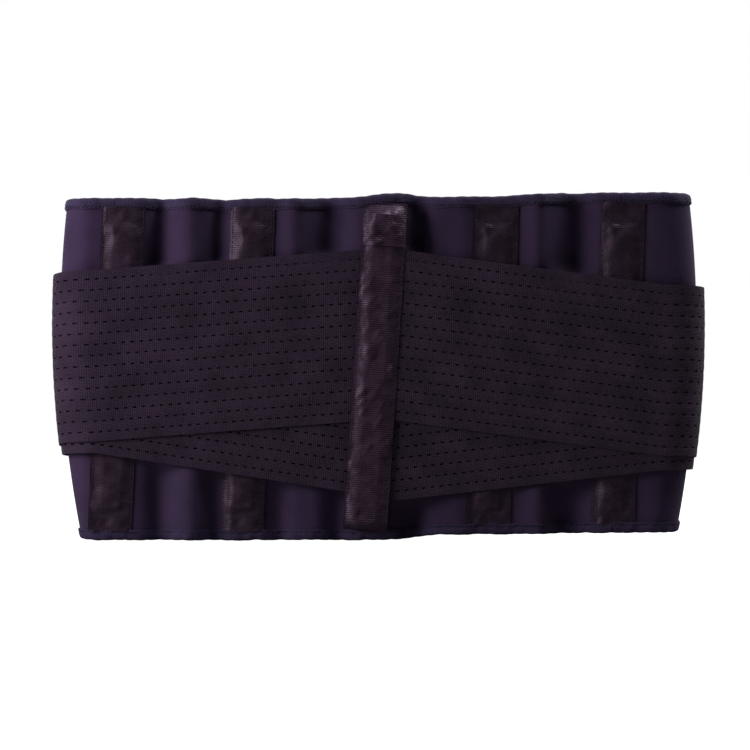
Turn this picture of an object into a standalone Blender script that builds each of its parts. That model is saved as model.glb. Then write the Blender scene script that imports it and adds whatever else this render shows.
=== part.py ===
"""Lumbar support belt, fastened into a loop that stands on its lower hem.

Run it with blender --background --python part.py, or from Blender's text editor. Metres, +Z up.
The wearer stands inside the loop and faces +Y, so the flat back panel with its stays and straps faces -Y.

Every soft layer is a strip along one plan line, which runs from the back seam round a side fold to the front.
A place on the belt is (s, offset, z): s is the distance along that line from the back seam, positive to the
wearer's right (+X) and negative to the left, and offset is the distance outwards from the shell's middle line.
"""

import math

import bmesh
import bpy

# Overall sizes
HEIGHT = 0.240
HALF_WIDTH = 0.2265  # from the back seam to the outside of the straps at a side fold
FRONT_HEIGHT = 0.190
FOLD_RADIUS = 0.020  # the shell's middle line, where the belt turns at the wearer's side
FOLD_TURN = math.radians(155)  # the rest of the half turn is the bow of the front
GAP = 0.00025  # between layers that touch
SEAM_GAP = 0.0005  # between lengths of one layer that bend against each other

# Padded strip: foam shell outside, lining inside, edges bound with folded tape
SHELL = 0.0035
LINING = 0.0008
BINDING = 0.0007
BINDING_DEPTH = 0.008
HEM_GAP = 0.0003  # inside the binding's fold

# Stays in their sewn channels, and the webbing tape that makes the channels
TAPE = 0.0005
TAPE_WIDTH = 0.030
CHANNEL_CROWN = 0.0172
CHANNEL_HOLLOW = 0.0023
CHANNEL_FOOT = 0.0007  # how far a channel's side wall leans out
CHANNEL_INSET = 0.0257  # from the end of the flat back to the outer channels' even place
CHANNEL_END_ROOM = 0.0016
STAY_WIDTH = 0.012
STAY = 0.0008
STAY_ROOM = 0.015  # free length of pocket past each end of a side stay
CAP_WALL = 0.0003
CAP_LENGTH = 0.014
CAP_GAP = 0.0002
CENTRE_STAY_ROOM = 0.0035
MOUTH_ABOVE_STRAP = 0.003  # the centre pocket opens this far above the upper straps

# Side-pull straps of perforated elastic
STRAP = 0.0011
STRAP_WIDTH = 0.118
STRAP_END = 0.001  # from the back seam, under the centre tape
PULL_BEND = 0.010  # from the end of the side fold to the line where a pull leaves the front
PAD_LENGTH = 0.080
PAD_RISE = 0.050
PAD_TO_TAB = 0.012
HOOK = 0.0012
HOOK_INSET = 0.005

# Front closure: the left front laps over the right one
LAP_RUN_IN = 0.060  # length over which the left front rises on to the lap
LAP_FLAT = 0.008  # the rise ends this far before the front centre
TAB_BEFORE = 0.005
TAB_REACH = 0.060
TAB_CORNER = 0.025
RIGHT_CORNER = 0.012
RIGHT_END = 0.002  # the right front stops this far before the front centre
LOOP = 0.0008
PATCH_INSET = 0.013
LOOP_PATCH_LENGTH = 0.060

# How each sewn channel lies: its even place in channel pitches, its drift along X, and its lean
CHANNELS = {
    "outer_left": (-2, -0.0075, math.radians(2.6)),
    "inner_left": (-1, -0.0040, math.radians(2.0)),
    "inner_right": (1, -0.0080, math.radians(1.5)),
    "outer_right": (2, -0.0080, math.radians(1.9)),
}
CENTRE_DRIFT = -0.0022
CENTRE_LEAN = math.radians(3.7)

# Straps: the upper ones by their top edge's drop below the upper hem, the lower ones by their bottom edge's
# rise above the lower hem, at the back seam and at the side fold
UPPER_DROP = {"left": (0.038, 0.053), "right": (0.037, 0.063)}
LOWER_RISE = {"left": (0.031, 0.061), "right": (0.027, 0.049)}

# Finishes: colour, roughness, metallic
FINISHES = {
    "shell": ((0.028, 0.020, 0.036), 0.85, 0.0),
    "lining": ((0.030, 0.026, 0.034), 0.90, 0.0),
    "binding": ((0.024, 0.018, 0.036), 0.80, 0.0),
    "tape": ((0.034, 0.022, 0.031), 0.45, 0.0),
    "elastic": ((0.026, 0.018, 0.025), 0.75, 0.0),
    "steel": ((0.62, 0.62, 0.64), 0.30, 1.0),
    "cap": ((0.85, 0.85, 0.82), 0.45, 0.0),
    "hook": ((0.020, 0.020, 0.022), 0.60, 0.0),
    "loop": ((0.024, 0.022, 0.028), 0.95, 0.0),
    "pad": ((0.028, 0.020, 0.034), 0.85, 0.0),
}

# Offsets of each layer's faces from the shell's middle line
SHELL_FACE = SHELL / 2
LINING_FACE = -SHELL_FACE - GAP
LINING_BACK = LINING_FACE - LINING
BINDING_FACE = SHELL_FACE + GAP
BINDING_OUTSIDE = BINDING_FACE + BINDING
BINDING_BACK = LINING_BACK - GAP
BINDING_INSIDE = BINDING_BACK - BINDING
CHANNEL_BASE = SHELL_FACE + GAP
LOWER_STRAP_FACE = CHANNEL_BASE + CHANNEL_HOLLOW + TAPE + GAP
UPPER_STRAP_FACE = LOWER_STRAP_FACE + STRAP + GAP
STRAP_OUTSIDE = UPPER_STRAP_FACE + STRAP
CENTRE_BASE = STRAP_OUTSIDE + GAP
CENTRE_OUTSIDE = CENTRE_BASE + CHANNEL_HOLLOW + TAPE
LAP_LIFT = GAP + max(BINDING_OUTSIDE - BINDING_INSIDE, SHELL + LOOP + HOOK + 2 * GAP)
PIVOT = STRAP_OUTSIDE + GAP / 2  # the bending lines lie on the outermost layer
TAB_PIVOT = LAP_LIFT + BINDING_OUTSIDE + GAP

# The plan line: a flat back, a tight arc at the side, a wide arc across the front
FLAT = HALF_WIDTH - STRAP_OUTSIDE - FOLD_RADIUS
FOLD_END = FLAT + FOLD_RADIUS * FOLD_TURN
BOW = math.pi - FOLD_TURN
FRONT_RADIUS = (FLAT + FOLD_RADIUS * math.sin(FOLD_TURN)) / math.sin(BOW)
FRONT_HUB = FOLD_RADIUS * (1 - math.cos(FOLD_TURN)) - FRONT_RADIUS * math.cos(BOW)
FRONT = FOLD_END + FRONT_RADIUS * BOW
CENTRE_Y = (FRONT_HUB + FRONT_RADIUS + LAP_LIFT + BINDING_OUTSIDE - CENTRE_OUTSIDE) / 2

FOLD_STEPS = 16
FRONT_STEPS = 12
CORNER_STEPS = 5
STAY_END_STEPS = 8  # facets of a stay's round end and of the caps that fit over it
FIRST_BEND = FLAT + FOLD_RADIUS * FOLD_TURN / 4
SECOND_BEND = FLAT + FOLD_RADIUS * FOLD_TURN * 3 / 4
PULL_LINE = FOLD_END + PULL_BEND
TAB_LINE = FRONT - TAB_BEFORE
TAB_END = FRONT + TAB_REACH
PAD_END = FRONT - TAB_REACH - PAD_TO_TAB
PAD_START = PAD_END - PAD_LENGTH
RIGHT_FRONT_END = FRONT - RIGHT_END
PITCH = (FLAT - CHANNEL_INSET) / 2
SIDES = {"left": -1, "right": 1}


def plan(s, offset):
    """The (x, y) of a place on the plan line."""
    side = -1 if s < 0 else 1
    run = abs(s)
    if run <= FLAT:
        return s, -offset - CENTRE_Y
    if run <= FOLD_END:
        turned = (run - FLAT) / FOLD_RADIUS
        reach = FOLD_RADIUS + offset
        return (
            side * (FLAT + reach * math.sin(turned)),
            FOLD_RADIUS - reach * math.cos(turned) - CENTRE_Y,
        )
    left_to_turn = (FRONT - run) / FRONT_RADIUS
    reach = FRONT_RADIUS + offset
    return (
        side * reach * math.sin(left_to_turn),
        FRONT_HUB + reach * math.cos(left_to_turn) - CENTRE_Y,
    )


def lap_lift(s):
    """How far the left front stands out from the plan line, to pass over the right front's end."""
    if s >= 0:
        return 0.0
    share = (-s - (FRONT - LAP_FLAT - LAP_RUN_IN)) / LAP_RUN_IN
    share = min(1.0, max(0.0, share))
    return LAP_LIFT * share * share * (3 - 2 * share)


def smooth_share(value, low, high):
    share = min(1.0, max(0.0, (value - low) / (high - low)))
    return share * share * (3 - 2 * share)


def top_of(s):
    """Height of the belt's upper edge: level over the back, coming down towards the front."""
    return HEIGHT - (HEIGHT - FRONT_HEIGHT) * smooth_share(abs(s), FOLD_END, FRONT)


def stations(start, end):
    """Places from start to end, with every bend of the plan line between them."""
    side = -1 if min(start, end) < 0 and max(start, end) <= 0 else 1
    fold = [FLAT + (FOLD_END - FLAT) * k / FOLD_STEPS for k in range(FOLD_STEPS + 1)]
    step = (FRONT - FOLD_END) / FRONT_STEPS
    front = [FOLD_END + step * k for k in range(1, 2 * FRONT_STEPS)]
    bends = [run * side for run in fold + front]
    if start < 0 < end:
        bends += [-run for run in fold]
    low, high = sorted((start, end))
    inside = [s for s in bends if low + SEAM_GAP < s < high - SEAM_GAP]
    found = sorted([low, *inside, high])
    return found if start < end else found[::-1]


def mesh_object(name, rings, finish, body):
    """A closed solid skinned over rings of points, each ring joined to the next and the ends filled."""
    mesh = bmesh.new()
    loops = [[mesh.verts.new(point) for point in ring] for ring in rings]
    for near, far in zip(loops, loops[1:]):
        for k in range(len(near)):
            after = (k + 1) % len(near)
            mesh.faces.new((near[k], near[after], far[after], far[k]))
    mesh.faces.new(loops[0])
    mesh.faces.new(loops[-1])
    return finish_object(name, mesh, finish, body)


def finish_object(name, mesh, finish, body):
    """Turns a bmesh in world coordinates into the named object, hung on its body's empty."""
    bmesh.ops.recalc_face_normals(mesh, faces=mesh.faces)
    bmesh.ops.translate(mesh, vec=-body.location, verts=mesh.verts)
    data = bpy.data.meshes.new(name)
    mesh.to_mesh(data)
    mesh.free()
    data.materials.append(bpy.data.materials[finish])
    data.shade_smooth()
    data.set_sharp_from_angle(angle=math.radians(30))
    made = bpy.data.objects.new(name, data)
    bpy.context.scene.collection.objects.link(made)
    made.parent = body
    return made


def strip(name, start, end, faces, edges, finish, body, extra=()):
    """A flat layer between two offsets. edges gives its lower and upper edge's heights at s."""
    places = sorted({*stations(start, end), *extra}, reverse=start > end)
    rings = []
    for s in places:
        low, high = edges(s)
        inner, outer = (face + lap_lift(s) for face in faces)
        section = ((inner, low), (outer, low), (outer, high), (inner, high))
        rings.append([(*plan(s, offset), z) for offset, z in section])
    return mesh_object(name, rings, finish, body)


def edging(name, path, body):
    """Folded binding tape along an edge. path holds (s, z, outward s, outward z) at the fold of the tape."""
    inner_web = BINDING_DEPTH - BINDING
    section = (
        (BINDING_INSIDE, BINDING_DEPTH),
        (BINDING_INSIDE, 0),
        (BINDING_OUTSIDE, 0),
        (BINDING_OUTSIDE, BINDING_DEPTH),
        (BINDING_FACE, BINDING_DEPTH),
        (BINDING_FACE, BINDING_DEPTH - inner_web),
        (BINDING_BACK, BINDING_DEPTH - inner_web),
        (BINDING_BACK, BINDING_DEPTH),
    )
    rings = []
    for s, z, out_s, out_z in path:
        ring = []
        for offset, depth in section:
            at = s - depth * out_s
            ring.append((*plan(at, offset + lap_lift(at)), z - depth * out_z))
        rings.append(ring)
    return mesh_object(name, rings, "binding", body)


def level_path(start, end, upper):
    """The edging path along the belt's upper or lower hem."""
    places = stations(start, end)
    return [(s, top_of(s), 0, 1) if upper else (s, 0, 0, -1) for s in places]


def rounded_path(start, end, corner):
    """The edging path along the lower hem, round the end at both corners, and back along the upper hem."""
    side = 1 if end > start else -1
    turn = [math.pi / 2 * k / CORNER_STEPS for k in range(1, CORNER_STEPS)]
    hub = end - side * corner
    lower = [(s, 0, 0, -1) for s in stations(start, hub)]
    upper = [(s, top_of(s), 0, 1) for s in stations(hub, start)]
    first = [(hub + side * corner * math.sin(a), corner * (1 - math.cos(a)),
              side * math.sin(a), -math.cos(a)) for a in turn]
    last = [(s, top_of(s) - z, out_s, -out_z) for s, z, out_s, out_z in reversed(first)]
    upright = [(end, corner, side, 0), (end, top_of(end) - corner, side, 0)]
    return [*lower, *first, *upright, *last, *upper]


def hem_edges(s):
    """Lower and upper edge of a layer that the bindings hold."""
    inset = BINDING + HEM_GAP
    return inset, top_of(s) - inset


def rounded_edges(end, corner):
    """Edges of a layer whose end has two round corners, and the places that draw them."""
    inset = BINDING + HEM_GAP
    side = 1 if end > 0 else -1
    radius = corner - inset
    hub = end - side * corner

    def edges(s):
        past = min(radius, max(0.0, (s - hub) * side))
        bite = radius - math.sqrt(radius * radius - past * past)
        low, high = hem_edges(s)
        return low + bite, high - bite

    turn = [math.pi / 2 * k / CORNER_STEPS for k in range(CORNER_STEPS + 1)]
    return edges, [hub + side * radius * math.sin(a) for a in turn]


def channel_section(width, crown, hollow):
    """Half-open hat section of a sewn channel, as (across, outwards) points from its base."""
    foot = crown / 2 + CHANNEL_FOOT
    inside = [(width / 2, 0), (foot, 0), (crown / 2, hollow)]
    outside = [(width / 2, TAPE), (foot + TAPE, TAPE), (crown / 2 + TAPE, hollow + TAPE)]
    left_inside = [(-across, out) for across, out in inside]
    left_outside = [(-across, out) for across, out in reversed(outside)]
    return [*left_inside, *reversed(inside), *outside, *left_outside]


def leaning(across, out, up, place, lean):
    """World point of a piece that lies on the flat back, leaning by an angle about its mid-height."""
    x = place + across * math.cos(lean) + up * math.sin(lean)
    z = HEIGHT / 2 + up * math.cos(lean) - across * math.sin(lean)
    return x, -out - CENTRE_Y, z


def tape(name, base, section, place, lean, low, high, body):
    """A length of tape along the back panel, from height low to height high."""
    heights = [(z - HEIGHT / 2) / math.cos(lean) for z in (low, high)]
    rings = [[leaning(across, base + out, up, place, lean) for across, out in section] for up in heights]
    return mesh_object(name, rings, "tape", body)


def capsule_outline(width, low, high):
    """Outline of a strip with round ends, as (across, up) points."""
    radius = width / 2
    turn = [math.pi * k / STAY_END_STEPS for k in range(STAY_END_STEPS + 1)]
    top = [(radius * math.cos(a), high - radius + radius * math.sin(a)) for a in turn]
    bottom = [(-radius * math.cos(a), low + radius - radius * math.sin(a)) for a in turn]
    return top + bottom


def stay(name, middle, place, lean, low, high, finish, body):
    """A flat stay with round ends."""
    outline = capsule_outline(STAY_WIDTH, low - HEIGHT / 2, high - HEIGHT / 2)
    rings = [
        [leaning(across, out, up, place, lean) for across, up in outline]
        for out in (middle - STAY / 2, middle + STAY / 2)
    ]
    return mesh_object(name, rings, finish, body)


def half_cap(end, mouth, inner):
    """Outline of a cap's outer or inner sleeve, as (across, up) points from its mouth round its end."""
    way = 1 if end > mouth else -1
    reach = STAY_WIDTH / 2 + CAP_GAP + (0 if inner else CAP_WALL)
    hub = end - way * STAY_WIDTH / 2
    turn = [math.pi * k / STAY_END_STEPS for k in range(STAY_END_STEPS + 1)]
    arc = [(reach * math.cos(a), hub + way * reach * math.sin(a)) for a in turn]
    return [(reach, mouth), *arc, (-reach, mouth)]


def cap(name, middle, end, mouth, place, lean, body):
    """A moulded cap over a stay's end: an outer and an inner sleeve, joined round its mouth."""
    mesh = bmesh.new()
    sheets = {}
    for kind, half in (("outside", STAY / 2 + CAP_GAP + CAP_WALL), ("inside", STAY / 2 + CAP_GAP)):
        outline = half_cap(end, mouth, kind == "inside")
        for face, out in (("near", middle - half), ("far", middle + half)):
            points = [leaning(across, out, up, place, lean) for across, up in outline]
            sheets[kind, face] = [mesh.verts.new(point) for point in points]
        near, far = sheets[kind, "near"], sheets[kind, "far"]
        mesh.faces.new(near)
        mesh.faces.new(far)
        for k in range(len(near) - 1):
            mesh.faces.new((near[k], near[k + 1], far[k + 1], far[k]))
    rim = {kind: [sheets[kind, "near"][0], sheets[kind, "near"][-1],
                  sheets[kind, "far"][-1], sheets[kind, "far"][0]] for kind in ("outside", "inside")}
    for k in range(4):
        after = (k + 1) % 4
        corners = (rim["outside"][k], rim["outside"][after], rim["inside"][after], rim["inside"][k])
        mesh.faces.new(corners)
    return finish_object(name, mesh, "cap", body)


def strap_edges(level, side):
    """Edges of a pull strap along the belt: straight from the seam to the fold, then on to the pull pad."""
    if level == "upper":
        seam, fold = (HEIGHT - drop - STRAP_WIDTH for drop in UPPER_DROP[side])
    else:
        seam, fold = LOWER_RISE[side]

    def edges(s):
        run = abs(s)
        if run <= FLAT:
            low = seam + (fold - seam) * run / FLAT
        else:
            low = fold + (PAD_RISE - fold) * smooth_share(run, FLAT, PAD_START)
        return low, low + STRAP_WIDTH

    return edges


def pad_edges(inset):
    return lambda s: (PAD_RISE + inset, PAD_RISE + STRAP_WIDTH - inset)


def clear_scene():
    for existing in list(bpy.data.objects):
        bpy.data.objects.remove(existing)


def make_materials():
    for name, (colour, roughness, metallic) in FINISHES.items():
        material = bpy.data.materials.new(name)
        material.use_nodes = True
        shader = material.node_tree.nodes["Principled BSDF"]
        shader.inputs["Base Color"].default_value = (*colour, 1)
        shader.inputs["Roughness"].default_value = roughness
        shader.inputs["Metallic"].default_value = metallic


def body_empty(name, x=0.0, y=0.0):
    """The empty that carries a moving group of pieces, on its joint's upright axis."""
    empty = bpy.data.objects.new(name, None)
    empty.location = (x, y, 0)
    bpy.context.scene.collection.objects.link(empty)
    return empty


def build_back(back):
    """Back panel: shell, lining and hems, level with the first bending lines at both sides."""
    end = FIRST_BEND - SEAM_GAP
    strip("back_shell", -end, end, (-SHELL_FACE, SHELL_FACE), hem_edges, "shell", back)
    strip("back_lining", -end, end, (LINING_BACK, LINING_FACE), hem_edges, "lining", back)
    edging("back_top_binding", level_path(-end, end, True), back)
    edging("back_bottom_binding", level_path(-end, end, False), back)


def build_channels(back):
    """Four sewn channels with a plastic-coated stay in each."""
    section = channel_section(TAPE_WIDTH, CHANNEL_CROWN, CHANNEL_HOLLOW)
    middle = CHANNEL_BASE + CHANNEL_HOLLOW / 2
    low = BINDING_DEPTH + CHANNEL_END_ROOM
    high = HEIGHT - low
    for name, (pitches, drift, lean) in CHANNELS.items():
        place = pitches * PITCH + drift
        tape(f"channel_tape_{name}", CHANNEL_BASE, section, place, lean, low, high, back)
        stay(f"stay_{name}", middle, place, lean, low + STAY_ROOM, high - STAY_ROOM, "cap", back)


def build_centre(back, slider):
    """Centre tape over the strap ends, the short tape above its mouth, and the stay that slides out."""
    place, lean = CENTRE_DRIFT, CENTRE_LEAN
    section = channel_section(TAPE_WIDTH, CHANNEL_CROWN, CHANNEL_HOLLOW)
    low = BINDING_DEPTH + CHANNEL_END_ROOM
    mouth = HEIGHT - min(UPPER_DROP["left"][0], UPPER_DROP["right"][0]) + MOUTH_ABOVE_STRAP
    tape("centre_tape", CENTRE_BASE, section, place, lean, low, mouth, back)
    half = TAPE_WIDTH / 2
    flat = [(-half, 0), (half, 0), (half, TAPE), (-half, TAPE)]
    tape("centre_tape_head", CHANNEL_BASE, flat, place, lean, mouth, HEIGHT - low, back)
    middle = CENTRE_BASE + CHANNEL_HOLLOW / 2
    stay_low, stay_high = low + CENTRE_STAY_ROOM, mouth - CENTRE_STAY_ROOM
    stay("centre_stay", middle, place, lean, stay_low, stay_high, "steel", slider)
    for name, end, way in (("top", stay_high, 1), ("bottom", stay_low, -1)):
        end -= HEIGHT / 2
        cap(f"centre_stay_{name}_cap", middle, end, end - way * CAP_LENGTH, place, lean, slider)


def build_straps(side, back, fold, front, pull):
    """Upper and lower pull strap of one side, each cut where it bends, ending at the pull pad."""
    sign = SIDES[side]
    lengths = {
        "back": (STRAP_END, FIRST_BEND - SEAM_GAP, back),
        "side": (FIRST_BEND + SEAM_GAP, SECOND_BEND - SEAM_GAP, fold),
        "turn": (SECOND_BEND + SEAM_GAP, PULL_LINE - SEAM_GAP, front),
        "pull": (PULL_LINE + SEAM_GAP, PAD_START - SEAM_GAP, pull),
    }
    for level, face in (("upper", UPPER_STRAP_FACE), ("lower", LOWER_STRAP_FACE)):
        edges = strap_edges(level, side)
        for length, (start, end, body) in lengths.items():
            name = f"{level}_strap_{side}_{length}"
            strip(name, sign * start, sign * end, (face, face + STRAP), edges, "elastic", body)


def build_pull_pad(side, pull):
    """Pull pad at the meeting of a side's straps, with the hook patch that grips the front."""
    sign = SIDES[side]
    hook = (SHELL_FACE + GAP, SHELL_FACE + GAP + HOOK)
    pad = (hook[1] + GAP, STRAP_OUTSIDE)
    start, end = sign * PAD_START, sign * PAD_END
    strip(f"{side}_pull_pad", start, end, pad, pad_edges(0), "pad", pull)
    inset = sign * HOOK_INSET
    strip(f"{side}_pull_hook", start + inset, end - inset, hook, pad_edges(HOOK_INSET), "hook", pull)


def build_side(side, fold):
    """The length of padded strip that turns round the wearer's side."""
    sign = SIDES[side]
    start, end = sign * (FIRST_BEND + SEAM_GAP), sign * (SECOND_BEND - SEAM_GAP)
    strip(f"{side}_side_shell", start, end, (-SHELL_FACE, SHELL_FACE), hem_edges, "shell", fold)
    strip(f"{side}_side_lining", start, end, (LINING_BACK, LINING_FACE), hem_edges, "lining", fold)
    edging(f"{side}_side_top_binding", level_path(start, end, True), fold)
    edging(f"{side}_side_bottom_binding", level_path(start, end, False), fold)


def build_left_front(front):
    """Left front, which rises over the right front's end and is sewn to the closure tab."""
    start, end = -(SECOND_BEND + SEAM_GAP), -(TAB_LINE - SEAM_GAP)
    strip("left_front_shell", start, end, (-SHELL_FACE, SHELL_FACE), hem_edges, "shell", front)
    strip("left_front_lining", start, end, (LINING_BACK, LINING_FACE), hem_edges, "lining", front)
    edging("left_front_top_binding", level_path(start, end, True), front)
    edging("left_front_bottom_binding", level_path(start, end, False), front)


def build_right_front(front):
    """Right front, whose bound end lies under the lap, with the loop patch that the tab grips."""
    start, end = SECOND_BEND + SEAM_GAP, RIGHT_FRONT_END
    inset = BINDING + HEM_GAP
    edges, extra = rounded_edges(end, RIGHT_CORNER)
    stop = end - inset
    strip("right_front_shell", start, stop, (-SHELL_FACE, SHELL_FACE), edges, "shell", front, extra)
    strip("right_front_lining", start, stop, (LINING_BACK, LINING_FACE), edges, "lining", front, extra)
    edging("right_front_binding", rounded_path(start, end, RIGHT_CORNER), front)
    patch_end = end - PATCH_INSET
    loop = (SHELL_FACE + GAP, SHELL_FACE + GAP + LOOP)
    strip("closure_loop_patch", patch_end - LOOP_PATCH_LENGTH, patch_end, loop, patch_edges, "loop", front)


def patch_edges(s):
    """Edges of a closure patch, held clear of both hems."""
    return PATCH_INSET, FRONT_HEIGHT - PATCH_INSET


def build_closure_tab(tab):
    """Closure tab past the front centre, with hook tape on its inner face."""
    start, end = -(TAB_LINE + SEAM_GAP), -TAB_END
    inset = BINDING + HEM_GAP
    edges, extra = rounded_edges(end, TAB_CORNER)
    strip("closure_tab_shell", start, end + inset, (-SHELL_FACE, SHELL_FACE), edges, "pad", tab, extra)
    edging("closure_tab_binding", rounded_path(start, end, TAB_CORNER), tab)
    hook = (-SHELL_FACE - GAP - HOOK, -SHELL_FACE - GAP)
    patch_start = -(FRONT + PATCH_INSET)
    strip("closure_hook_patch", patch_start, end + PATCH_INSET, hook, patch_edges, "hook", tab)


def build():
    clear_scene()
    make_materials()
    back = body_empty("body_back")
    slider = body_empty("body_centre_stay", CENTRE_DRIFT, plan(0, CENTRE_BASE)[1])
    build_back(back)
    build_channels(back)
    build_centre(back, slider)
    for side, sign in SIDES.items():
        fold = body_empty(f"body_{side}_side", *plan(sign * FIRST_BEND, PIVOT))
        front = body_empty(f"body_{side}_front", *plan(sign * SECOND_BEND, PIVOT))
        pull = body_empty(f"body_{side}_pull", *plan(sign * PULL_LINE, PIVOT))
        build_side(side, fold)
        build_straps(side, back, fold, front, pull)
        build_pull_pad(side, pull)
        if side == "left":
            build_left_front(front)
        else:
            build_right_front(front)
    tab = body_empty("body_closure_tab", *plan(-TAB_LINE, TAB_PIVOT))
    build_closure_tab(tab)


build()
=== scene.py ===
"""Looks of the lumbar support belt: cloth, webbing, elastic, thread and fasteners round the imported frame.

Every layer lies along one plan line: flat across the back, a tight arc at each side, and a wide arc over the
front. A place on the belt is (s, offset, z): s runs along the line from the back seam, positive to the wearer's
right, and offset is the distance outwards from the shell's middle line. All sizes are in metres.
"""

import logging
import math
from dataclasses import dataclass, field, replace
from enum import Enum
from typing import Any, Callable, Iterable, Sequence

import bpy
import numpy as np
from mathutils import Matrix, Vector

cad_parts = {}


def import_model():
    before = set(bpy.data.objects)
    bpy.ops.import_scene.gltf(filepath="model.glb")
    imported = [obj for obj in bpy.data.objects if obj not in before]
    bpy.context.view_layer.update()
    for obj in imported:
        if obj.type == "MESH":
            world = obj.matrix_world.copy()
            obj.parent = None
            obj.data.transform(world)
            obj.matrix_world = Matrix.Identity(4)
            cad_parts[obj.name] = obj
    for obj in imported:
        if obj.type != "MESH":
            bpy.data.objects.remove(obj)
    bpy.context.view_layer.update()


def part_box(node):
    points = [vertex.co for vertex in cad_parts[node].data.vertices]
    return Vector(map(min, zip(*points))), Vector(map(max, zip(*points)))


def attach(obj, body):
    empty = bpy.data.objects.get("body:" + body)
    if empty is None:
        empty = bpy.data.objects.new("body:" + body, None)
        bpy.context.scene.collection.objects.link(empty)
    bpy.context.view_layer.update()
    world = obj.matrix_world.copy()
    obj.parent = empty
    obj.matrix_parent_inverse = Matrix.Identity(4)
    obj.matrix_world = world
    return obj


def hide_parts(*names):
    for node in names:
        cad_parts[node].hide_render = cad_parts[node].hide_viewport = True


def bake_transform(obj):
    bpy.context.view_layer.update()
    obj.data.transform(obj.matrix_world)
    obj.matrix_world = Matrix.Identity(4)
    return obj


Array = np.ndarray
Socket = bpy.types.NodeSocket
Tree = bpy.types.NodeTree
Lift = Callable[[Array, Array, Array], Array]
MM = 0.001
log = logging.getLogger("belt")


class Side(Enum):
    """A side of the wearer, with the sign of its places along the plan line."""

    LEFT = -1
    RIGHT = 1

    @property
    def word(self) -> str:
        """The side's name as the frame's nodes and bodies spell it."""
        return self.name.lower()


class Level(Enum):
    """Which of a side's two pull straps."""

    UPPER = "upper"
    LOWER = "lower"


# ---------------------------------------------------------------- small numeric tools


def smooth(value: Array, low: float, high: float) -> Array:
    """Smoothstep: 0 below low, 1 above high, and 3t^2 - 2t^3 between them."""
    share = np.clip((np.asarray(value, float) - low) / (high - low), 0.0, 1.0)
    return share * share * (3 - 2 * share)


def bell(value: Array, centre: float, width: float) -> Array:
    """A bell curve of height 1: exp(-((value - centre) / width)^2)."""
    return np.exp(-(((np.asarray(value, float) - centre) / width) ** 2))


def cloth_noise(u: Array, v: Array, grain: tuple[float, float], seed: int) -> Array:
    """Soft random field, from -1 to 1.

    A lattice of random heights with one knot every grain, joined by smoothsteps along u and along v.

    Args:
        u, v: places on the cloth, in metres.
        grain: knot spacing along u and along v, in metres.
        seed: which field.

    Returns:
        The field's value at each place.
    """
    knots = np.random.default_rng(seed).uniform(-1, 1, (64, 64))
    a, b = np.broadcast_arrays(np.asarray(u, float) / grain[0] + 500, np.asarray(v, float) / grain[1] + 500)
    i, j = np.floor(a).astype(int), np.floor(b).astype(int)
    p, q = a - i, b - j
    p, q = p * p * (3 - 2 * p), q * q * (3 - 2 * q)
    i0, i1, j0, j1 = i % 64, (i + 1) % 64, j % 64, (j + 1) % 64
    low = knots[i0, j0] * (1 - p) + knots[i1, j0] * p
    high = knots[i0, j1] * (1 - p) + knots[i1, j1] * p
    return low * (1 - q) + high * q


def join(*parts: Array) -> Array:
    """Arrays broadcast together and joined on a new last axis."""
    return np.stack(np.broadcast_arrays(*parts), axis=-1)


# ---------------------------------------------------------------- the belt's own shape


@dataclass(frozen=True)
class Layers:
    """Offsets of each layer's faces from the shell's middle line, as stacked in the frame."""

    shell: float = 1.75 * MM
    lining_face: float = -2.0 * MM
    lining_back: float = -2.8 * MM
    binding: float = 2.7 * MM
    binding_back: float = -3.75 * MM
    channel_base: float = 2.0 * MM
    lower_strap: float = 5.05 * MM
    upper_strap: float = 6.4 * MM
    strap: float = 1.1 * MM
    centre_base: float = 7.75 * MM
    centre_outside: float = 10.55 * MM


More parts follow.
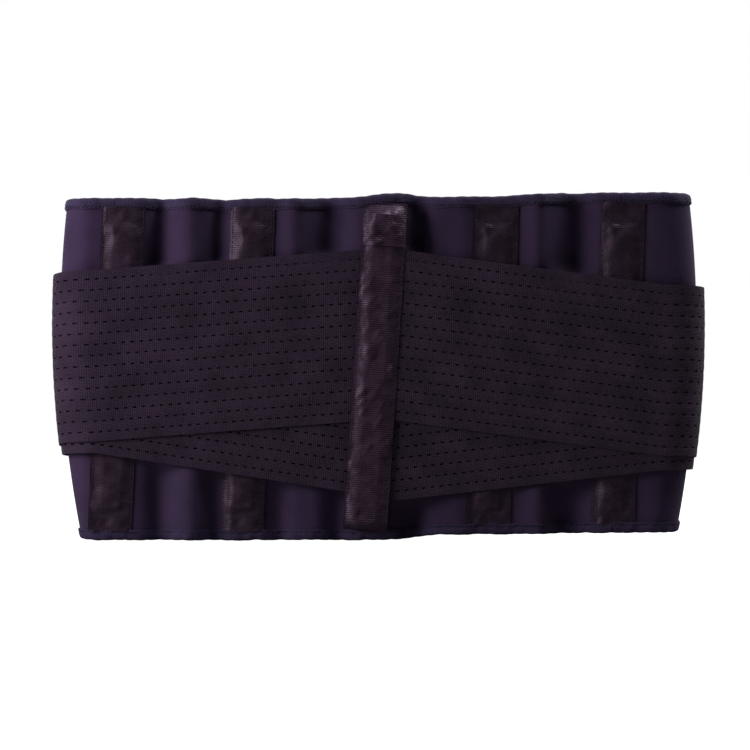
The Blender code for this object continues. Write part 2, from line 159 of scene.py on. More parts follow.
@dataclass(frozen=True)
class Belt:
    """The plan line and the hems, worked out from the frame's boxes.

    Args:
        flat: length of the flat back each side of the seam.
        centre_y: distance from the footprint's middle back to the flat back.
        height: height of the back.
        front_height: height at the front centre.
        lap_lift: how far the left front stands out where it passes over the right one.
    """

    flat: float
    centre_y: float
    height: float
    front_height: float
    lap_lift: float
    fold_radius: float = 20 * MM
    fold_turn: float = math.radians(155)
    lap_run_in: float = 60 * MM
    lap_flat: float = 8 * MM
    tab_start: float = 440 * MM
    tab_end: float = 527.3 * MM
    tab_corner: float = 25 * MM
    right_short: float = 2 * MM
    right_corner: float = 12 * MM
    waist_z: float = 150 * MM
    waist_taper: float = 0.175
    fullness: float = 1.006
    layers: Layers = field(default_factory=Layers)

    @classmethod
    def from_frame(cls) -> "Belt":
        """Reads the driving sizes off the frame's nodes.

        Returns:
            The belt, at the sizes that the frame was built to.
        """
        layers = Layers()
        shell_low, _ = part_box("back_shell")
        _, strap_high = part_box("upper_strap_right_side")
        _, hem_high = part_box("back_top_binding")
        _, tab_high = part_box("closure_tab_shell")
        flat = strap_high.x - layers.upper_strap - layers.strap - cls.fold_radius
        centre_y = -shell_low.y - layers.shell
        front = cls(flat, centre_y, hem_high.z, 0.0, 0.0)
        lift = tab_high.y + centre_y - front.front_hub - front.front_radius - layers.shell
        return cls(flat, centre_y, round(hem_high.z, 4), round(tab_high.z + 1 * MM, 4), lift)

    @property
    def fold_end(self) -> float:
        """Where the side fold ends and the front's wide arc starts."""
        return self.flat + self.fold_radius * self.fold_turn

    @property
    def front_radius(self) -> float:
        """Radius of the arc that carries the fold's end direction to square across the front centre."""
        reach = self.flat + self.fold_radius * math.sin(self.fold_turn)
        return reach / math.sin(math.pi - self.fold_turn)

    @property
    def front_hub(self) -> float:
        """Y of the front arc's centre, counted from the flat back."""
        depth = self.fold_radius * (1 - math.cos(self.fold_turn))
        return depth - self.front_radius * math.cos(math.pi - self.fold_turn)

    @property
    def front(self) -> float:
        """Length of the plan line from the back seam to the front centre."""
        return self.fold_end + self.front_radius * (math.pi - self.fold_turn)

    @property
    def mid_side(self) -> float:
        """Halfway round the fold, between the two bending lines."""
        return self.flat + self.fold_radius * self.fold_turn / 2

    def narrowing(self, z: Array) -> Array:
        """Share of the full width at a height: the cloth draws in above and below the straps in a parabola."""
        return self.fullness - self.waist_taper * ((np.asarray(z) - self.waist_z) / self.height) ** 2

    def lap(self, s: Array) -> Array:
        """How far the left front stands out over the right one: a smoothstep before the front centre."""
        start = self.front - self.lap_flat - self.lap_run_in
        return self.lap_lift * smooth(-np.asarray(s), start, start + self.lap_run_in)

    def at(self, s: Array, offset: Array, z: Array) -> Array:
        """World points of places on the belt.

        On the flat back x is s; round the fold the point turns about the fold's centre at its radius plus the
        offset; over the front it turns about the front's hub. The width is then drawn in with height.

        Args:
            s, offset, z: arrays that broadcast together.

        Returns:
            An array with x, y, z on its last axis.
        """
        s, offset, z = np.broadcast_arrays(*(np.asarray(a, float) for a in (s, offset, z)))
        offset = offset + self.lap(s)
        side, run = np.where(s < 0, -1.0, 1.0), np.abs(s)
        turned = (np.minimum(run, self.fold_end) - self.flat) / self.fold_radius
        reach = self.fold_radius + offset
        fold_x, fold_y = self.flat + reach * np.sin(turned), self.fold_radius - reach * np.cos(turned)
        left = (self.front - run) / self.front_radius
        far = self.front_radius + offset
        front_x, front_y = far * np.sin(left), self.front_hub + far * np.cos(left)
        x = np.where(run <= self.flat, run, np.where(run <= self.fold_end, fold_x, front_x))
        y = np.where(run <= self.flat, -offset, np.where(run <= self.fold_end, fold_y, front_y))
        return join(side * x * self.narrowing(z), y - self.centre_y, z)

    def hem_low(self, s: Array) -> Array:
        """Height of the lower hem: level on the left, stepping up right of the seam, level again at the front.

        Args:
            s: places along the plan line.

        Returns:
            A height for each place.
        """
        s = np.asarray(s, float)
        rise = 4.0 * MM * smooth(s, 2 * MM, 52 * MM) + 1.0 * MM * smooth(s, 70 * MM, self.flat)
        scallop = 0.35 * MM * cloth_noise(s, 0 * s, (9 * MM, 1), 3)
        settle = 1 - smooth(s, self.fold_end, self.front - 90 * MM)
        return 0.4 * MM + (rise + scallop) * settle

    def hem_high(self, s: Array) -> Array:
        """Height of the upper hem: uneven over the back, coming down as a smoothstep to the front centre.

        Args:
            s: places along the plan line.

        Returns:
            A height for each place.
        """
        s = np.asarray(s, float)
        trim = -2.8 * MM + 1.0 * MM * smooth(s, -70 * MM, -5 * MM) + 2.8 * MM * bell(s, 12 * MM, 20 * MM)
        trim += 3.3 * MM * smooth(s, 60 * MM, 150 * MM) - 1.2 * MM * bell(s, -104 * MM, 9 * MM)
        trim += 0.45 * MM * cloth_noise(s, 0 * s, (10 * MM, 1), 5)
        fall = (self.height - self.front_height) * smooth(np.abs(s), self.fold_end, self.front)
        return self.height - fall + trim * (1 - smooth(np.abs(s), self.mid_side, self.fold_end + 60 * MM))


@dataclass(frozen=True)
class Ridge:
    """An upright soft ridge, or a valley where its height is negative, in the padded back."""

    x: float
    height: float
    width: float
    seen_above: float = 1.0
    seen_below: float = 1.0


RIDGES = (
    Ridge(-203 * MM, 1.0 * MM, 9 * MM),
    Ridge(-151 * MM, -9.5 * MM, 9 * MM, 1.0, 0.6),
    Ridge(-130 * MM, 4.6 * MM, 10 * MM, 1.0, 1.0),
    Ridge(-110 * MM, -7.0 * MM, 8 * MM, 1.0, 0.6),
    Ridge(-58 * MM, 3.4 * MM, 9 * MM, 1.0, 0.0),
    Ridge(-35 * MM, -10.5 * MM, 13 * MM, 1.0, 0.0),
    Ridge(-68 * MM, -3.6 * MM, 9 * MM, 0.0, 1.0),
    Ridge(-42 * MM, 2.6 * MM, 9 * MM, 0.0, 1.0),
    Ridge(-24 * MM, -3.4 * MM, 9 * MM, 0.0, 1.0),
    Ridge(25 * MM, -9.5 * MM, 12 * MM, 1.0, 0.8),
    Ridge(58 * MM, 2.0 * MM, 9 * MM, 1.0, 0.6),
    Ridge(111 * MM, 4.6 * MM, 9 * MM, 1.0, 0.8),
    Ridge(134 * MM, -12.0 * MM, 14 * MM, 1.0, 0.6),
    Ridge(191 * MM, 1.0 * MM, 9 * MM, 1.0, 1.0),
)


@dataclass(frozen=True)
class StrapLine:
    """Edges of a pull strap: straight from the seam to the fold, then easing on to its pull pad."""

    belt: Belt
    side: Side
    level: Level
    seam: float
    fold: float
    pad_rise: float = 50 * MM
    pad_start: float = 315.3 * MM
    pad_tuck: float = 6 * MM
    width: float = 118 * MM

    @property
    def face(self) -> float:
        """Offset of the strap's inner face."""
        layers = self.belt.layers
        return layers.upper_strap if self.level is Level.UPPER else layers.lower_strap

    def low(self, s: Array) -> Array:
        """Height of the lower edge at s.

        Args:
            s: places along the plan line.

        Returns:
            A height for each place.
        """
        run = np.abs(np.asarray(s, float))
        straight = self.seam + (self.fold - self.seam) * np.minimum(run / self.belt.flat, 1)
        return straight + (self.pad_rise - self.fold) * smooth(run, self.belt.flat, self.pad_start)


def strap_lines(belt: Belt) -> dict[tuple[Side, Level], StrapLine]:
    """The four pull straps' edges. The upper ones are measured down from the upper hem.

    Args:
        belt: the plan line and the hems.

    Returns:
        Each strap's edges, by side and level.
    """
    top = belt.height - StrapLine.width
    rises = {
        (Side.LEFT, Level.UPPER): (top - 38 * MM, top - 53 * MM),
        (Side.RIGHT, Level.UPPER): (top - 37 * MM, top - 63 * MM),
        (Side.LEFT, Level.LOWER): (31 * MM, 61 * MM),
        (Side.RIGHT, Level.LOWER): (27 * MM, 49 * MM),
    }
    return {(side, level): StrapLine(belt, side, level, *rise) for (side, level), rise in rises.items()}


@dataclass(frozen=True)
class TapeLine:
    """Where a tape lies on the flat back: its middle's x at mid-height, and its lean."""

    name: str
    place: float
    lean: float
    width: float = 30 * MM

    def x_at(self, z: Array, height: float) -> Array:
        """X of the tape's middle at a height."""
        return self.place + (np.asarray(z) - height / 2) * math.tan(self.lean)


def channel_lines(belt: Belt) -> tuple[TapeLine, ...]:
    """The four sewn channels: even pitches across the back, each with its own drift and lean.

    Args:
        belt: the plan line.

    Returns:
        The tapes' lines, from the wearer's left to the right.
    """
    pitch = (belt.flat - 25.7 * MM) / 2
    return (
        TapeLine("outer_left", -2 * pitch - 7.5 * MM, math.radians(2.6)),
        TapeLine("inner_left", -pitch - 4.0 * MM, math.radians(2.0)),
        TapeLine("inner_right", pitch - 8.0 * MM, math.radians(1.5)),
        TapeLine("outer_right", 2 * pitch - 8.0 * MM, math.radians(1.9)),
    )


CENTRE_LINE = TapeLine("centre", -2.2 * MM, math.radians(3.7))


@dataclass(frozen=True)
class Relief:
    """How far the soft back stands out of its flat plane, at a place on it."""

    belt: Belt
    straps: dict[tuple[Side, Level], StrapLine]
    tapes: tuple[TapeLine, ...]
    under_straps: float = 0.22
    hold: float = 11 * MM
    fade_start: float = 4 * MM
    fade_end: float = 20 * MM
    front_waves_end: tuple[float, float] = (340 * MM, 400 * MM)

    def strap_low(self, level: Level, s: Array) -> Array:
        """Height of the lower edge of a level's strap at s, on the side where s is."""
        return np.where(s < 0, self.straps[Side.LEFT, level].low(s), self.straps[Side.RIGHT, level].low(s))

    def fade(self, x: Array) -> Array:
        """1 over the flat back, falling as a smoothstep to 0 round the fold."""
        return 1 - smooth(np.abs(x), self.belt.flat + self.fade_start, self.belt.flat + self.fade_end)

    def freedom(self, x: Array, z: Array) -> tuple[Array, Array]:
        """Shares of the ridges' height that show above the upper strap and below the lower one.

        Args:
            x, z: places on the back.

        Returns:
            The share above the upper strap, and the share below the lower one.
        """
        above = smooth(z - self.strap_low(Level.UPPER, x) - StrapLine.width, -10 * MM, 5 * MM)
        below = smooth(self.strap_low(Level.LOWER, x) - z, -8 * MM, 6 * MM)
        return above * self.fade(x), below * self.fade(x)

    def out(self, x: Array, z: Array) -> Array:
        """Relief of the body at x, z: the sum of the ridges' bell curves, held flat along each tape.

        Args:
            x, z: places on the back.

        Returns:
            Distance outwards from the flat back, at each place.
        """
        x, z = np.broadcast_arrays(np.asarray(x, float), np.asarray(z, float))
        above, below = self.freedom(x, z)
        held = np.ones(x.shape)
        for line in (*self.tapes, CENTRE_LINE):
            held = held * (1 - 0.92 * bell(x, line.x_at(z, self.belt.height), self.hold))
        total = np.zeros(x.shape)
        for ridge in RIDGES:
            seen = np.maximum(above * ridge.seen_above, below * ridge.seen_below)
            share = np.maximum(seen, self.under_straps)
            total = total + ridge.height * share * bell(x, ridge.x, ridge.width)
        wrinkle = 0.22 * MM * cloth_noise(x, z, (13 * MM, 30 * MM), 11)
        return (total + wrinkle) * held * self.fade(x)

    def front(self, s: Array, z: Array) -> Array:
        """Slow waves of the sides and fronts, clear of the straps, the pads and the lap.

        Args:
            s, z: places along the plan line, and heights.

        Returns:
            Distance outwards, at each place.
        """
        run = np.abs(np.asarray(s, float))
        above = smooth(z - self.strap_low(Level.UPPER, s) - StrapLine.width, -4 * MM, 14 * MM)
        below = smooth(self.strap_low(Level.LOWER, s) - z, -4 * MM, 12 * MM)
        along = smooth(run, self.belt.mid_side, self.belt.fold_end + 20 * MM)
        along = along * (1 - smooth(run, *self.front_waves_end))
        return 1.0 * MM * cloth_noise(s, z, (34 * MM, 60 * MM), 15) * np.minimum(above + below, 1) * along

    def strap(self, x: Array, z: Array, seed: int) -> Array:
        """Relief of a strap's face: a faint print of what is under it, and slow waves along the elastic.

        Args:
            x, z: places on the back.
            seed: which strap's waves.

        Returns:
            Distance outwards, at each place.
        """
        fade = 1 - smooth(np.abs(x), self.belt.flat - 15 * MM, self.belt.flat + 5 * MM)
        print_through = 0.0
        for line in self.tapes:
            print_through = print_through + 0.35 * MM * bell(x, line.x_at(z, self.belt.height), 13 * MM)
        waves = 0.22 * MM * cloth_noise(x, z, (38 * MM, 26 * MM), seed)
        return (print_through + waves) * fade


# ---------------------------------------------------------------- materials


def linear(code: str) -> tuple[float, float, float, float]:
    """An sRGB hex colour, such as "3a2f44", as linear red, green, blue and an alpha of 1.

    Args:
        code: six hex digits.

    Returns:
        Red, green, blue and alpha.
    """
    parts = [int(code[k : k + 2], 16) / 255 for k in (0, 2, 4)]
    flat = [c / 12.92 if c <= 0.04045 else ((c + 0.055) / 1.055) ** 2.4 for c in parts]
    return flat[0], flat[1], flat[2], 1.0


def add_node(tree: Tree, kind: str, inputs: dict | None = None, **settings: Any) -> bpy.types.Node:
    """Adds a node with its settings, and sets or links its inputs.

    Args:
        tree: the material's or world's node tree.
        kind: the node's type name.
        inputs: socket name or number to a value, or to an output socket to link.
        settings: the node's own properties.

    Returns:
        The new node.
    """
    node = tree.nodes.new(kind)
    for key, value in settings.items():
        setattr(node, key, value)
    for key, value in (inputs or {}).items():
        if isinstance(value, bpy.types.NodeSocket):
            tree.links.new(value, node.inputs[key])
        else:
            node.inputs[key].default_value = value
    return node


@dataclass(frozen=True)
class Finish:
    """A cloth-like finish: two base colours mixed by a slow noise, ribs both ways, and a fine random bump. The
    ribs and the fine grain that raise the bump also lighten the colour on their crests: painted light there and
    painted shade in their hollows. The grain's part is also random tone.

    rib_u and rib_v are the spacings of ribs counted along the piece's u and v, in metres; 0 leaves them out.
    """

    name: str
    dark: str
    light: str
    roughness: float
    specular: float = 0.25
    sheen: float = 0.0
    sheen_tint: str = "6a5a78"
    gloss_tint: str = "ffffff"
    rib_u: float = 0.0
    rib_v: float = 0.0
    rib_depth: float = 0.10 * MM
    grain: float = 1.2 * MM
    grain_depth: float = 0.08 * MM
    patch: float = 22 * MM
    crease: float = 0.0
    crease_depth: float = 0.0
    metallic: float = 0.0
    # How much the ribs and the fine grain lighten the colour on their crests: painted shade and painted glints,
    # the grain's part also random tone.
    rib_shade: float = 0.35
    grain_shade: float = 0.3
    grain_stretch: float = 1.0

    def ribs(self, tree: Tree, axis: Socket, spacing: float) -> Socket:
        """Height of ribs across an axis: half of 1 + sin(2 pi x / spacing).

        Args:
            tree: the material's node tree.
            axis: the coordinate to count along.
            spacing: distance from rib to rib, in metres.

        Returns:
            The socket with the ribs' height, from 0 to 1.
        """
        angle = add_node(tree, "ShaderNodeMath", {0: axis, 1: 2 * math.pi / spacing}, operation="MULTIPLY")
        wave = add_node(tree, "ShaderNodeMath", {0: angle.outputs[0]}, operation="SINE")
        half = add_node(tree, "ShaderNodeMath", {0: wave.outputs[0], 1: 0.5, 2: 0.5}, operation="MULTIPLY_ADD")
        return half.outputs[0]

    def noise(self, tree: Tree, vector: Socket, size: float, detail: float) -> Socket:
        """A noise node's value, with lumps about the given size across."""
        node = add_node(tree, "ShaderNodeTexNoise", {"Vector": vector, "Scale": 1 / size, "Detail": detail})
        return node.outputs["Fac"]

    def material(self) -> bpy.types.Material:
        """Builds the material once and returns it.

        Returns:
            The material, with its pattern on the piece's own cloth coordinates.
        """
        found = bpy.data.materials.get(self.name)
        if found:
            return found
        material = bpy.data.materials.new(self.name)
        material.use_nodes = True
        tree = material.node_tree
        shader = tree.nodes["Principled BSDF"]
        uv = add_node(tree, "ShaderNodeUVMap", uv_map="cloth").outputs["UV"]
        axes = add_node(tree, "ShaderNodeSeparateXYZ", {0: uv})
        slow = self.noise(tree, uv, self.patch, 3.0)
        drawn = add_node(tree, "ShaderNodeMapping", {"Vector": uv, "Scale": (1 / self.grain_stretch, 1, 1)})
        fine = self.noise(tree, drawn.outputs[0], self.grain, 2.0)
        height = fine
        # The fine grain lightens the colour where it raises the bump: painted glints, as well as random tone.
        grained = {0: fine, 1: self.grain_shade, 2: slow}
        shade = add_node(tree, "ShaderNodeMath", grained, operation="MULTIPLY_ADD").outputs[0]
        middle = 0.5 + self.grain_shade / 2
        for axis, spacing in ((axes.outputs[0], self.rib_u), (axes.outputs[1], self.rib_v)):
            if spacing:
                rib = self.ribs(tree, axis, spacing)
                scaled = {0: rib, 1: self.rib_depth / self.grain_depth, 2: height}
                height = add_node(tree, "ShaderNodeMath", scaled, operation="MULTIPLY_ADD").outputs[0]
                # Each rib's crest is painted lighter and its groove darker: painted shade.
                shaded = {0: rib, 1: self.rib_shade, 2: shade}
                shade = add_node(tree, "ShaderNodeMath", shaded, operation="MULTIPLY_ADD").outputs[0]
                middle += self.rib_shade / 2
        if self.crease:
            crease = self.noise(tree, uv, self.crease, 3.0)
            scaled = {0: crease, 1: self.crease_depth / self.grain_depth, 2: height}
            height = add_node(tree, "ShaderNodeMath", scaled, operation="MULTIPLY_ADD").outputs[0]
        spread = {0: shade, 1: middle - 0.3, 2: middle + 0.3}
        ramp = add_node(tree, "ShaderNodeMapRange", spread)
        mixed = {"Factor": ramp.outputs[0], 6: linear(self.dark), 7: linear(self.light)}
        colour = add_node(tree, "ShaderNodeMix", mixed, data_type="RGBA")
        bumped = {"Height": height, "Distance": self.grain_depth, "Strength": 1.0}
        bump = add_node(tree, "ShaderNodeBump", bumped)
        tree.links.new(colour.outputs[2], shader.inputs["Base Color"])
        tree.links.new(bump.outputs["Normal"], shader.inputs["Normal"])
        shader.inputs["Roughness"].default_value = self.roughness
        shader.inputs["Metallic"].default_value = self.metallic
        shader.inputs["Specular IOR Level"].default_value = self.specular
        shader.inputs["Specular Tint"].default_value = linear(self.gloss_tint)
        shader.inputs["Sheen Weight"].default_value = self.sheen
        shader.inputs["Sheen Roughness"].default_value = 0.45
        shader.inputs["Sheen Tint"].default_value = linear(self.sheen_tint)
        return material


# Brushed nylon knit on foam: a matt face with a faint bloom where it turns away, its loops drawn 1.1 mm apart.
FOAM_KNIT = Finish(
    "foam_backed_knit", "2f2435", "392d41", 0.9, 0.08, 0.05, rib_u=1.1 * MM, rib_v=1.1 * MM,
    rib_depth=0.03 * MM, grain=1.0 * MM, grain_depth=0.08 * MM, patch=30 * MM, rib_shade=0.10,
)
# Brushed lining: short raised pile, so no gloss at all.
LINING = Finish("brushed_lining", "2b2731", "35303c", 0.95, 0.08, 0.25, grain=0.9 * MM, grain_depth=0.15 * MM)
# Folded stretch binding: fine ribs along the hem, bluer than the body.
BINDING = Finish(
    "folded_binding", "2a2334", "3c3349", 0.85, 0.10, 0.05, rib_u=1.5 * MM, rib_v=0.9 * MM,
    rib_depth=0.10 * MM, grain=1.2 * MM, grain_depth=0.12 * MM, patch=8 * MM,
)
# Satin woven tape: weft ribs 1.5 mm apart run straight across it, with slubs along them, and it creases. The
# bright specks that the slubs and ribs put in its colour are painted glints, with painted shade between the
# ribs.
SATIN = Finish(
    "satin_woven_tape", "21171f", "42323f", 0.42, 0.26, 0.0, gloss_tint="d6becb", rib_v=1.5 * MM,
    rib_depth=0.12 * MM, grain=0.9 * MM, grain_depth=0.12 * MM, patch=9 * MM, rib_shade=0.5,
    crease=6 * MM, crease_depth=0.6 * MM, grain_shade=0.9, grain_stretch=1.4,
)
# The same tape where it is stretched flat over a channel: less glossy, as its creases are pulled out. Its
# colours are darker than the centre tape's, and that darkness is painted shade.
SHADED_CHANNEL_SATIN = replace(
    SATIN, name="stretched_satin_tape", dark="1e161d", light="372b35", specular=0.20, rib_shade=0.25,
    rib_depth=0.06 * MM, crease_depth=0.35 * MM,
)
# Elastic knit: covered rubber ribs 1.3 mm apart across the strap, 1 mm along it, with an uneven face.
ELASTIC = Finish(
    "perforated_elastic_knit", "251d26", "3a2e3a", 0.85, 0.08, 0.03, rib_u=1.3 * MM, rib_v=1.0 * MM,
    rib_depth=0.14 * MM, grain=1.1 * MM, grain_depth=0.28 * MM, patch=24 * MM, rib_shade=0.16,
    grain_shade=0.6,
)
# Polyester thread: a slight shine along each stitch.
THREAD = Finish("polyester_thread", "1f1826", "322839", 0.6, 0.2, grain=0.5 * MM, grain_depth=0.03 * MM)
# Moulded hook tape: rows of stiff nylon hooks 1.6 mm apart.
HOOKS = Finish(
    "nylon_hook_tape", "121114", "29272d", 0.5, 0.45, rib_u=1.6 * MM, rib_v=1.6 * MM, rib_depth=0.6 * MM,
    grain=0.6 * MM, grain_depth=0.2 * MM, rib_shade=0.6,
)
# Loop pile: tangled loops, matt and lumpy.
LOOPS = Finish(
    "brushed_loop_pile", "1f1c24", "322d38", 1.0, 0.05, 0.3, grain=1.0 * MM, grain_depth=0.5 * MM,
    patch=3 * MM,
)
# Doubled nylon knit of the pads.
PAD_KNIT = Finish(
    "doubled_pad_knit", "2c2333", "372c40", 0.85, 0.12, 0.10, rib_u=1.4 * MM, rib_v=1.4 * MM,
    rib_depth=0.08 * MM, grain=0.9 * MM, grain_depth=0.10 * MM, patch=20 * MM,
)


@dataclass(frozen=True)
class StayFinish:
    """Finish of a stay or its cap, on Object coordinates, with fine marks drawn along its length."""

    name: str
    colour: str
    roughness: float
    metallic: float

    def material(self) -> bpy.types.Material:
        """Builds the material: a flat colour, with a bump from a noise stretched 30 times along Z.

        Returns:
            The material.
        """
        material = bpy.data.materials.new(self.name)
        material.use_nodes = True
        tree = material.node_tree
        shader = tree.nodes["Principled BSDF"]
        place = add_node(tree, "ShaderNodeTexCoord").outputs["Object"]
        drawn = add_node(tree, "ShaderNodeMapping", {"Vector": place, "Scale": (3000, 3000, 100)})
        marks = add_node(tree, "ShaderNodeTexNoise", {"Vector": drawn.outputs[0], "Scale": 1.0, "Detail": 3.0})
        bump = add_node(tree, "ShaderNodeBump", {"Height": marks.outputs["Fac"], "Distance": 0.02 * MM})
        tree.links.new(bump.outputs["Normal"], shader.inputs["Normal"])
        shader.inputs["Base Color"].default_value = linear(self.colour)
        shader.inputs["Roughness"].default_value = self.roughness
        shader.inputs["Metallic"].default_value = self.metallic
        return material


# Ground spring steel strip, marked along its length by the rolls.
SPRING_STEEL = StayFinish("ground_spring_steel", "b9babd", 0.32, 1.0)
# Dipped nylon coating: milky and half matt.
STAY_COATING = StayFinish("dipped_nylon_coating", "dcdad4", 0.5, 0.0)


# ---------------------------------------------------------------- meshes


def grid_quads(rows: int, columns: int, start: int = 0) -> Array:
    """Vertex numbers of every quad of a grid whose vertices are numbered row by row.

    Args:
        rows, columns: size of the grid.
        start: number of its first vertex.

    Returns:
        An n by 4 array.
    """
    index = np.arange(rows * columns).reshape(rows, columns) + start
    corners = (index[:-1, :-1], index[1:, :-1], index[1:, 1:], index[:-1, 1:])
    return np.stack(corners, axis=-1).reshape(-1, 4)


def outward(points: Array, quads: Array) -> bool:
    """Whether closed quads face outwards: the sum of their cones' volumes about the mean point is positive.

    Args:
        points: vertices, n by 3.
        quads: vertex numbers, m by 4.

    Returns:
        True where the faces look outwards.
    """
    a, b, c, d = (points[quads[:, k]] - points.mean(0) for k in range(4))
    volume = (np.cross(a, b) * c).sum() + (np.cross(a, c) * d).sum()
    return bool(volume > 0)


def make_piece(
    name: str, points: Array, quads: Array, uv: Array, finish: Finish, sharp: float = 50
) -> bpy.types.Object:
    """A smooth-shaded mesh object at the origin.

    Args:
        name: the piece's name.
        points: vertices, n by 3.
        quads: vertex numbers, m by 4.
        uv: the cloth coordinates of each vertex, in metres.
        finish: what it is made of.
        sharp: edges that turn by more than this many degrees are drawn sharp.

    Returns:
        The new object.
    """
    if not outward(points, quads):
        quads = quads[:, ::-1]
    mesh = bpy.data.meshes.new(name)
    mesh.vertices.add(len(points))
    mesh.vertices.foreach_set("co", points.astype(np.float32).ravel())
    mesh.loops.add(quads.size)
    mesh.loops.foreach_set("vertex_index", quads.astype(np.int32).ravel())
    mesh.polygons.add(len(quads))
    mesh.polygons.foreach_set("loop_start", np.arange(0, quads.size, 4, dtype=np.int32))
    mesh.update(calc_edges=True)
    layer = mesh.uv_layers.new(name="cloth")
    layer.data.foreach_set("uv", uv[quads.ravel()].astype(np.float32).ravel())
    mesh.shade_smooth()
    mesh.set_sharp_from_angle(angle=math.radians(sharp))
    mesh.materials.append(finish.material())
    made = bpy.data.objects.new(name, mesh)
    bpy.context.scene.collection.objects.link(made)
    return made


def slab(
    name: str, outer: Array, inner: Array, uv: Array, finish: Finish, holes: Array | None = None
) -> bpy.types.Object:
    """A closed sheet with thickness between two grids of points.

    Both faces are the grids' quads, less the holes; every edge that only one quad of a face uses gets a wall.

    Args:
        name: the piece's name.
        outer, inner: rows by columns by 3 points of its two faces.
        uv: rows by columns by 2 cloth coordinates.
        finish: what it is made of.
        holes: rows-1 by columns-1, true where a quad is cut out.

    Returns:
        The new object.
    """
    rows, columns = outer.shape[:2]
    count = rows * columns
    quads = grid_quads(rows, columns)
    if holes is not None:
        quads = quads[~holes.ravel()]
    edges = np.concatenate([quads[:, [k, (k + 1) % 4]] for k in range(4)])
    _, first, uses = np.unique(np.sort(edges, axis=1), axis=0, return_index=True, return_counts=True)
    rim = edges[first[uses == 1]]
    walls = np.stack([rim[:, 1], rim[:, 0], rim[:, 0] + count, rim[:, 1] + count], axis=-1)
    every = np.concatenate([quads, quads[:, ::-1] + count, walls])
    points = np.concatenate([outer.reshape(-1, 3), inner.reshape(-1, 3)])
    uvs = np.concatenate([uv.reshape(-1, 2)] * 2)
    used, every = np.unique(every, return_inverse=True)
    return make_piece(name, points[used], every.reshape(-1, 4), uvs[used], finish)


def tube(name: str, rings: Array, uv: Array, finish: Finish, sharp: float = 50) -> bpy.types.Object:
    """A closed solid carried over rings of points, with each end closed by quads across its ring.

    Args:
        name: the piece's name.
        rings: number of rings by an even number of points by 3.
        uv: number of rings by number of points by 2 cloth coordinates.
        finish: what it is made of.
        sharp: angle in degrees past which an edge is drawn sharp.

    Returns:
        The new object.
    """
    count, around = rings.shape[:2]
    index = np.arange(count * around).reshape(count, around)
    turned = np.roll(index, -1, axis=1)
    sides = np.stack([index[:-1], turned[:-1], turned[1:], index[1:]], axis=-1).reshape(-1, 4)
    k = np.arange(around // 2 - 1)
    cap = np.stack([k, around - 1 - k, around - 2 - k, k + 1], axis=-1)
    far = cap[:, ::-1] + (count - 1) * around
    quads = np.concatenate([sides, cap, far])
    return make_piece(name, rings.reshape(-1, 3), quads, uv.reshape(-1, 2), finish, sharp)


def stitches(name: str, starts: Array, ends: Array, out: Array, radius: float) -> bpy.types.Object:
    """Short lengths of thread, each a six-sided capsule bowed slightly off the cloth.

    Args:
        name: the piece's name.
        starts, ends: n by 3 points where each stitch goes into the cloth.
        out: n by 3 directions away from the cloth.
        radius: the thread's radius.

    Returns:
        One object that holds every stitch.
    """
    along = ends - starts
    length = np.linalg.norm(along, axis=1, keepdims=True)
    along = along / length
    across = np.cross(along, out)
    across /= np.linalg.norm(across, axis=1, keepdims=True)
    up = np.cross(across, along)
    stops = np.array([0.0, 0.12, 0.5, 0.88, 1.0])
    wide = np.array([0.35, 0.9, 1.0, 0.9, 0.35]) * radius
    bow = np.sin(stops * math.pi) * 0.8 * radius
    angle = np.arange(6) * math.pi / 3
    spine = starts[:, None] + along[:, None] * (stops[:, None] * length[:, None]) + up[:, None] * bow[:, None]
    ring = across[:, None] * np.cos(angle)[:, None] + up[:, None] * np.sin(angle)[:, None]
    points = spine[:, :, None] + ring[:, None] * wide[:, None, None]
    index = np.arange(30).reshape(5, 6)
    turned = np.roll(index, -1, axis=1)
    sides = np.stack([index[:-1], turned[:-1], turned[1:], index[1:]], axis=-1).reshape(-1, 4)
    cap = np.array([[0, 5, 4, 1], [1, 4, 3, 2]])
    one = np.concatenate([sides, cap, cap[:, ::-1] + 24])
    quads = (one[None] + 30 * np.arange(len(starts))[:, None, None]).reshape(-1, 4)
    points = points.reshape(-1, 3)
    return make_piece(name, points, quads, points[:, [0, 2]], THREAD, 80)


def dress(piece: bpy.types.Object, nodes: Sequence[str] = ()) -> bpy.types.Object:
    """Hides the frame's nodes that a piece stands for, and logs the piece.

    Args:
        piece: the new object.
        nodes: frame nodes that it replaces.

    Returns:
        The same object.
    """
    if nodes:
        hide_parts(*nodes)
    log.info("%s: %d faces", piece.name, len(piece.data.polygons))
    return piece


# ---------------------------------------------------------------- stretches and their bodies

# Where each bend of the cloth starts and ends. The side folds are counted forward from the flat back. The peel
# lines of the pull pads and of the tab are counted along the plan line.
SIDE_BEND = (5.6 * MM, 13 * MM)
FRONT_BEND = (20 * MM, 34 * MM)
PULL_BEND = (261 * MM, 275 * MM)
TAB_BEND = (454 * MM, 470 * MM)


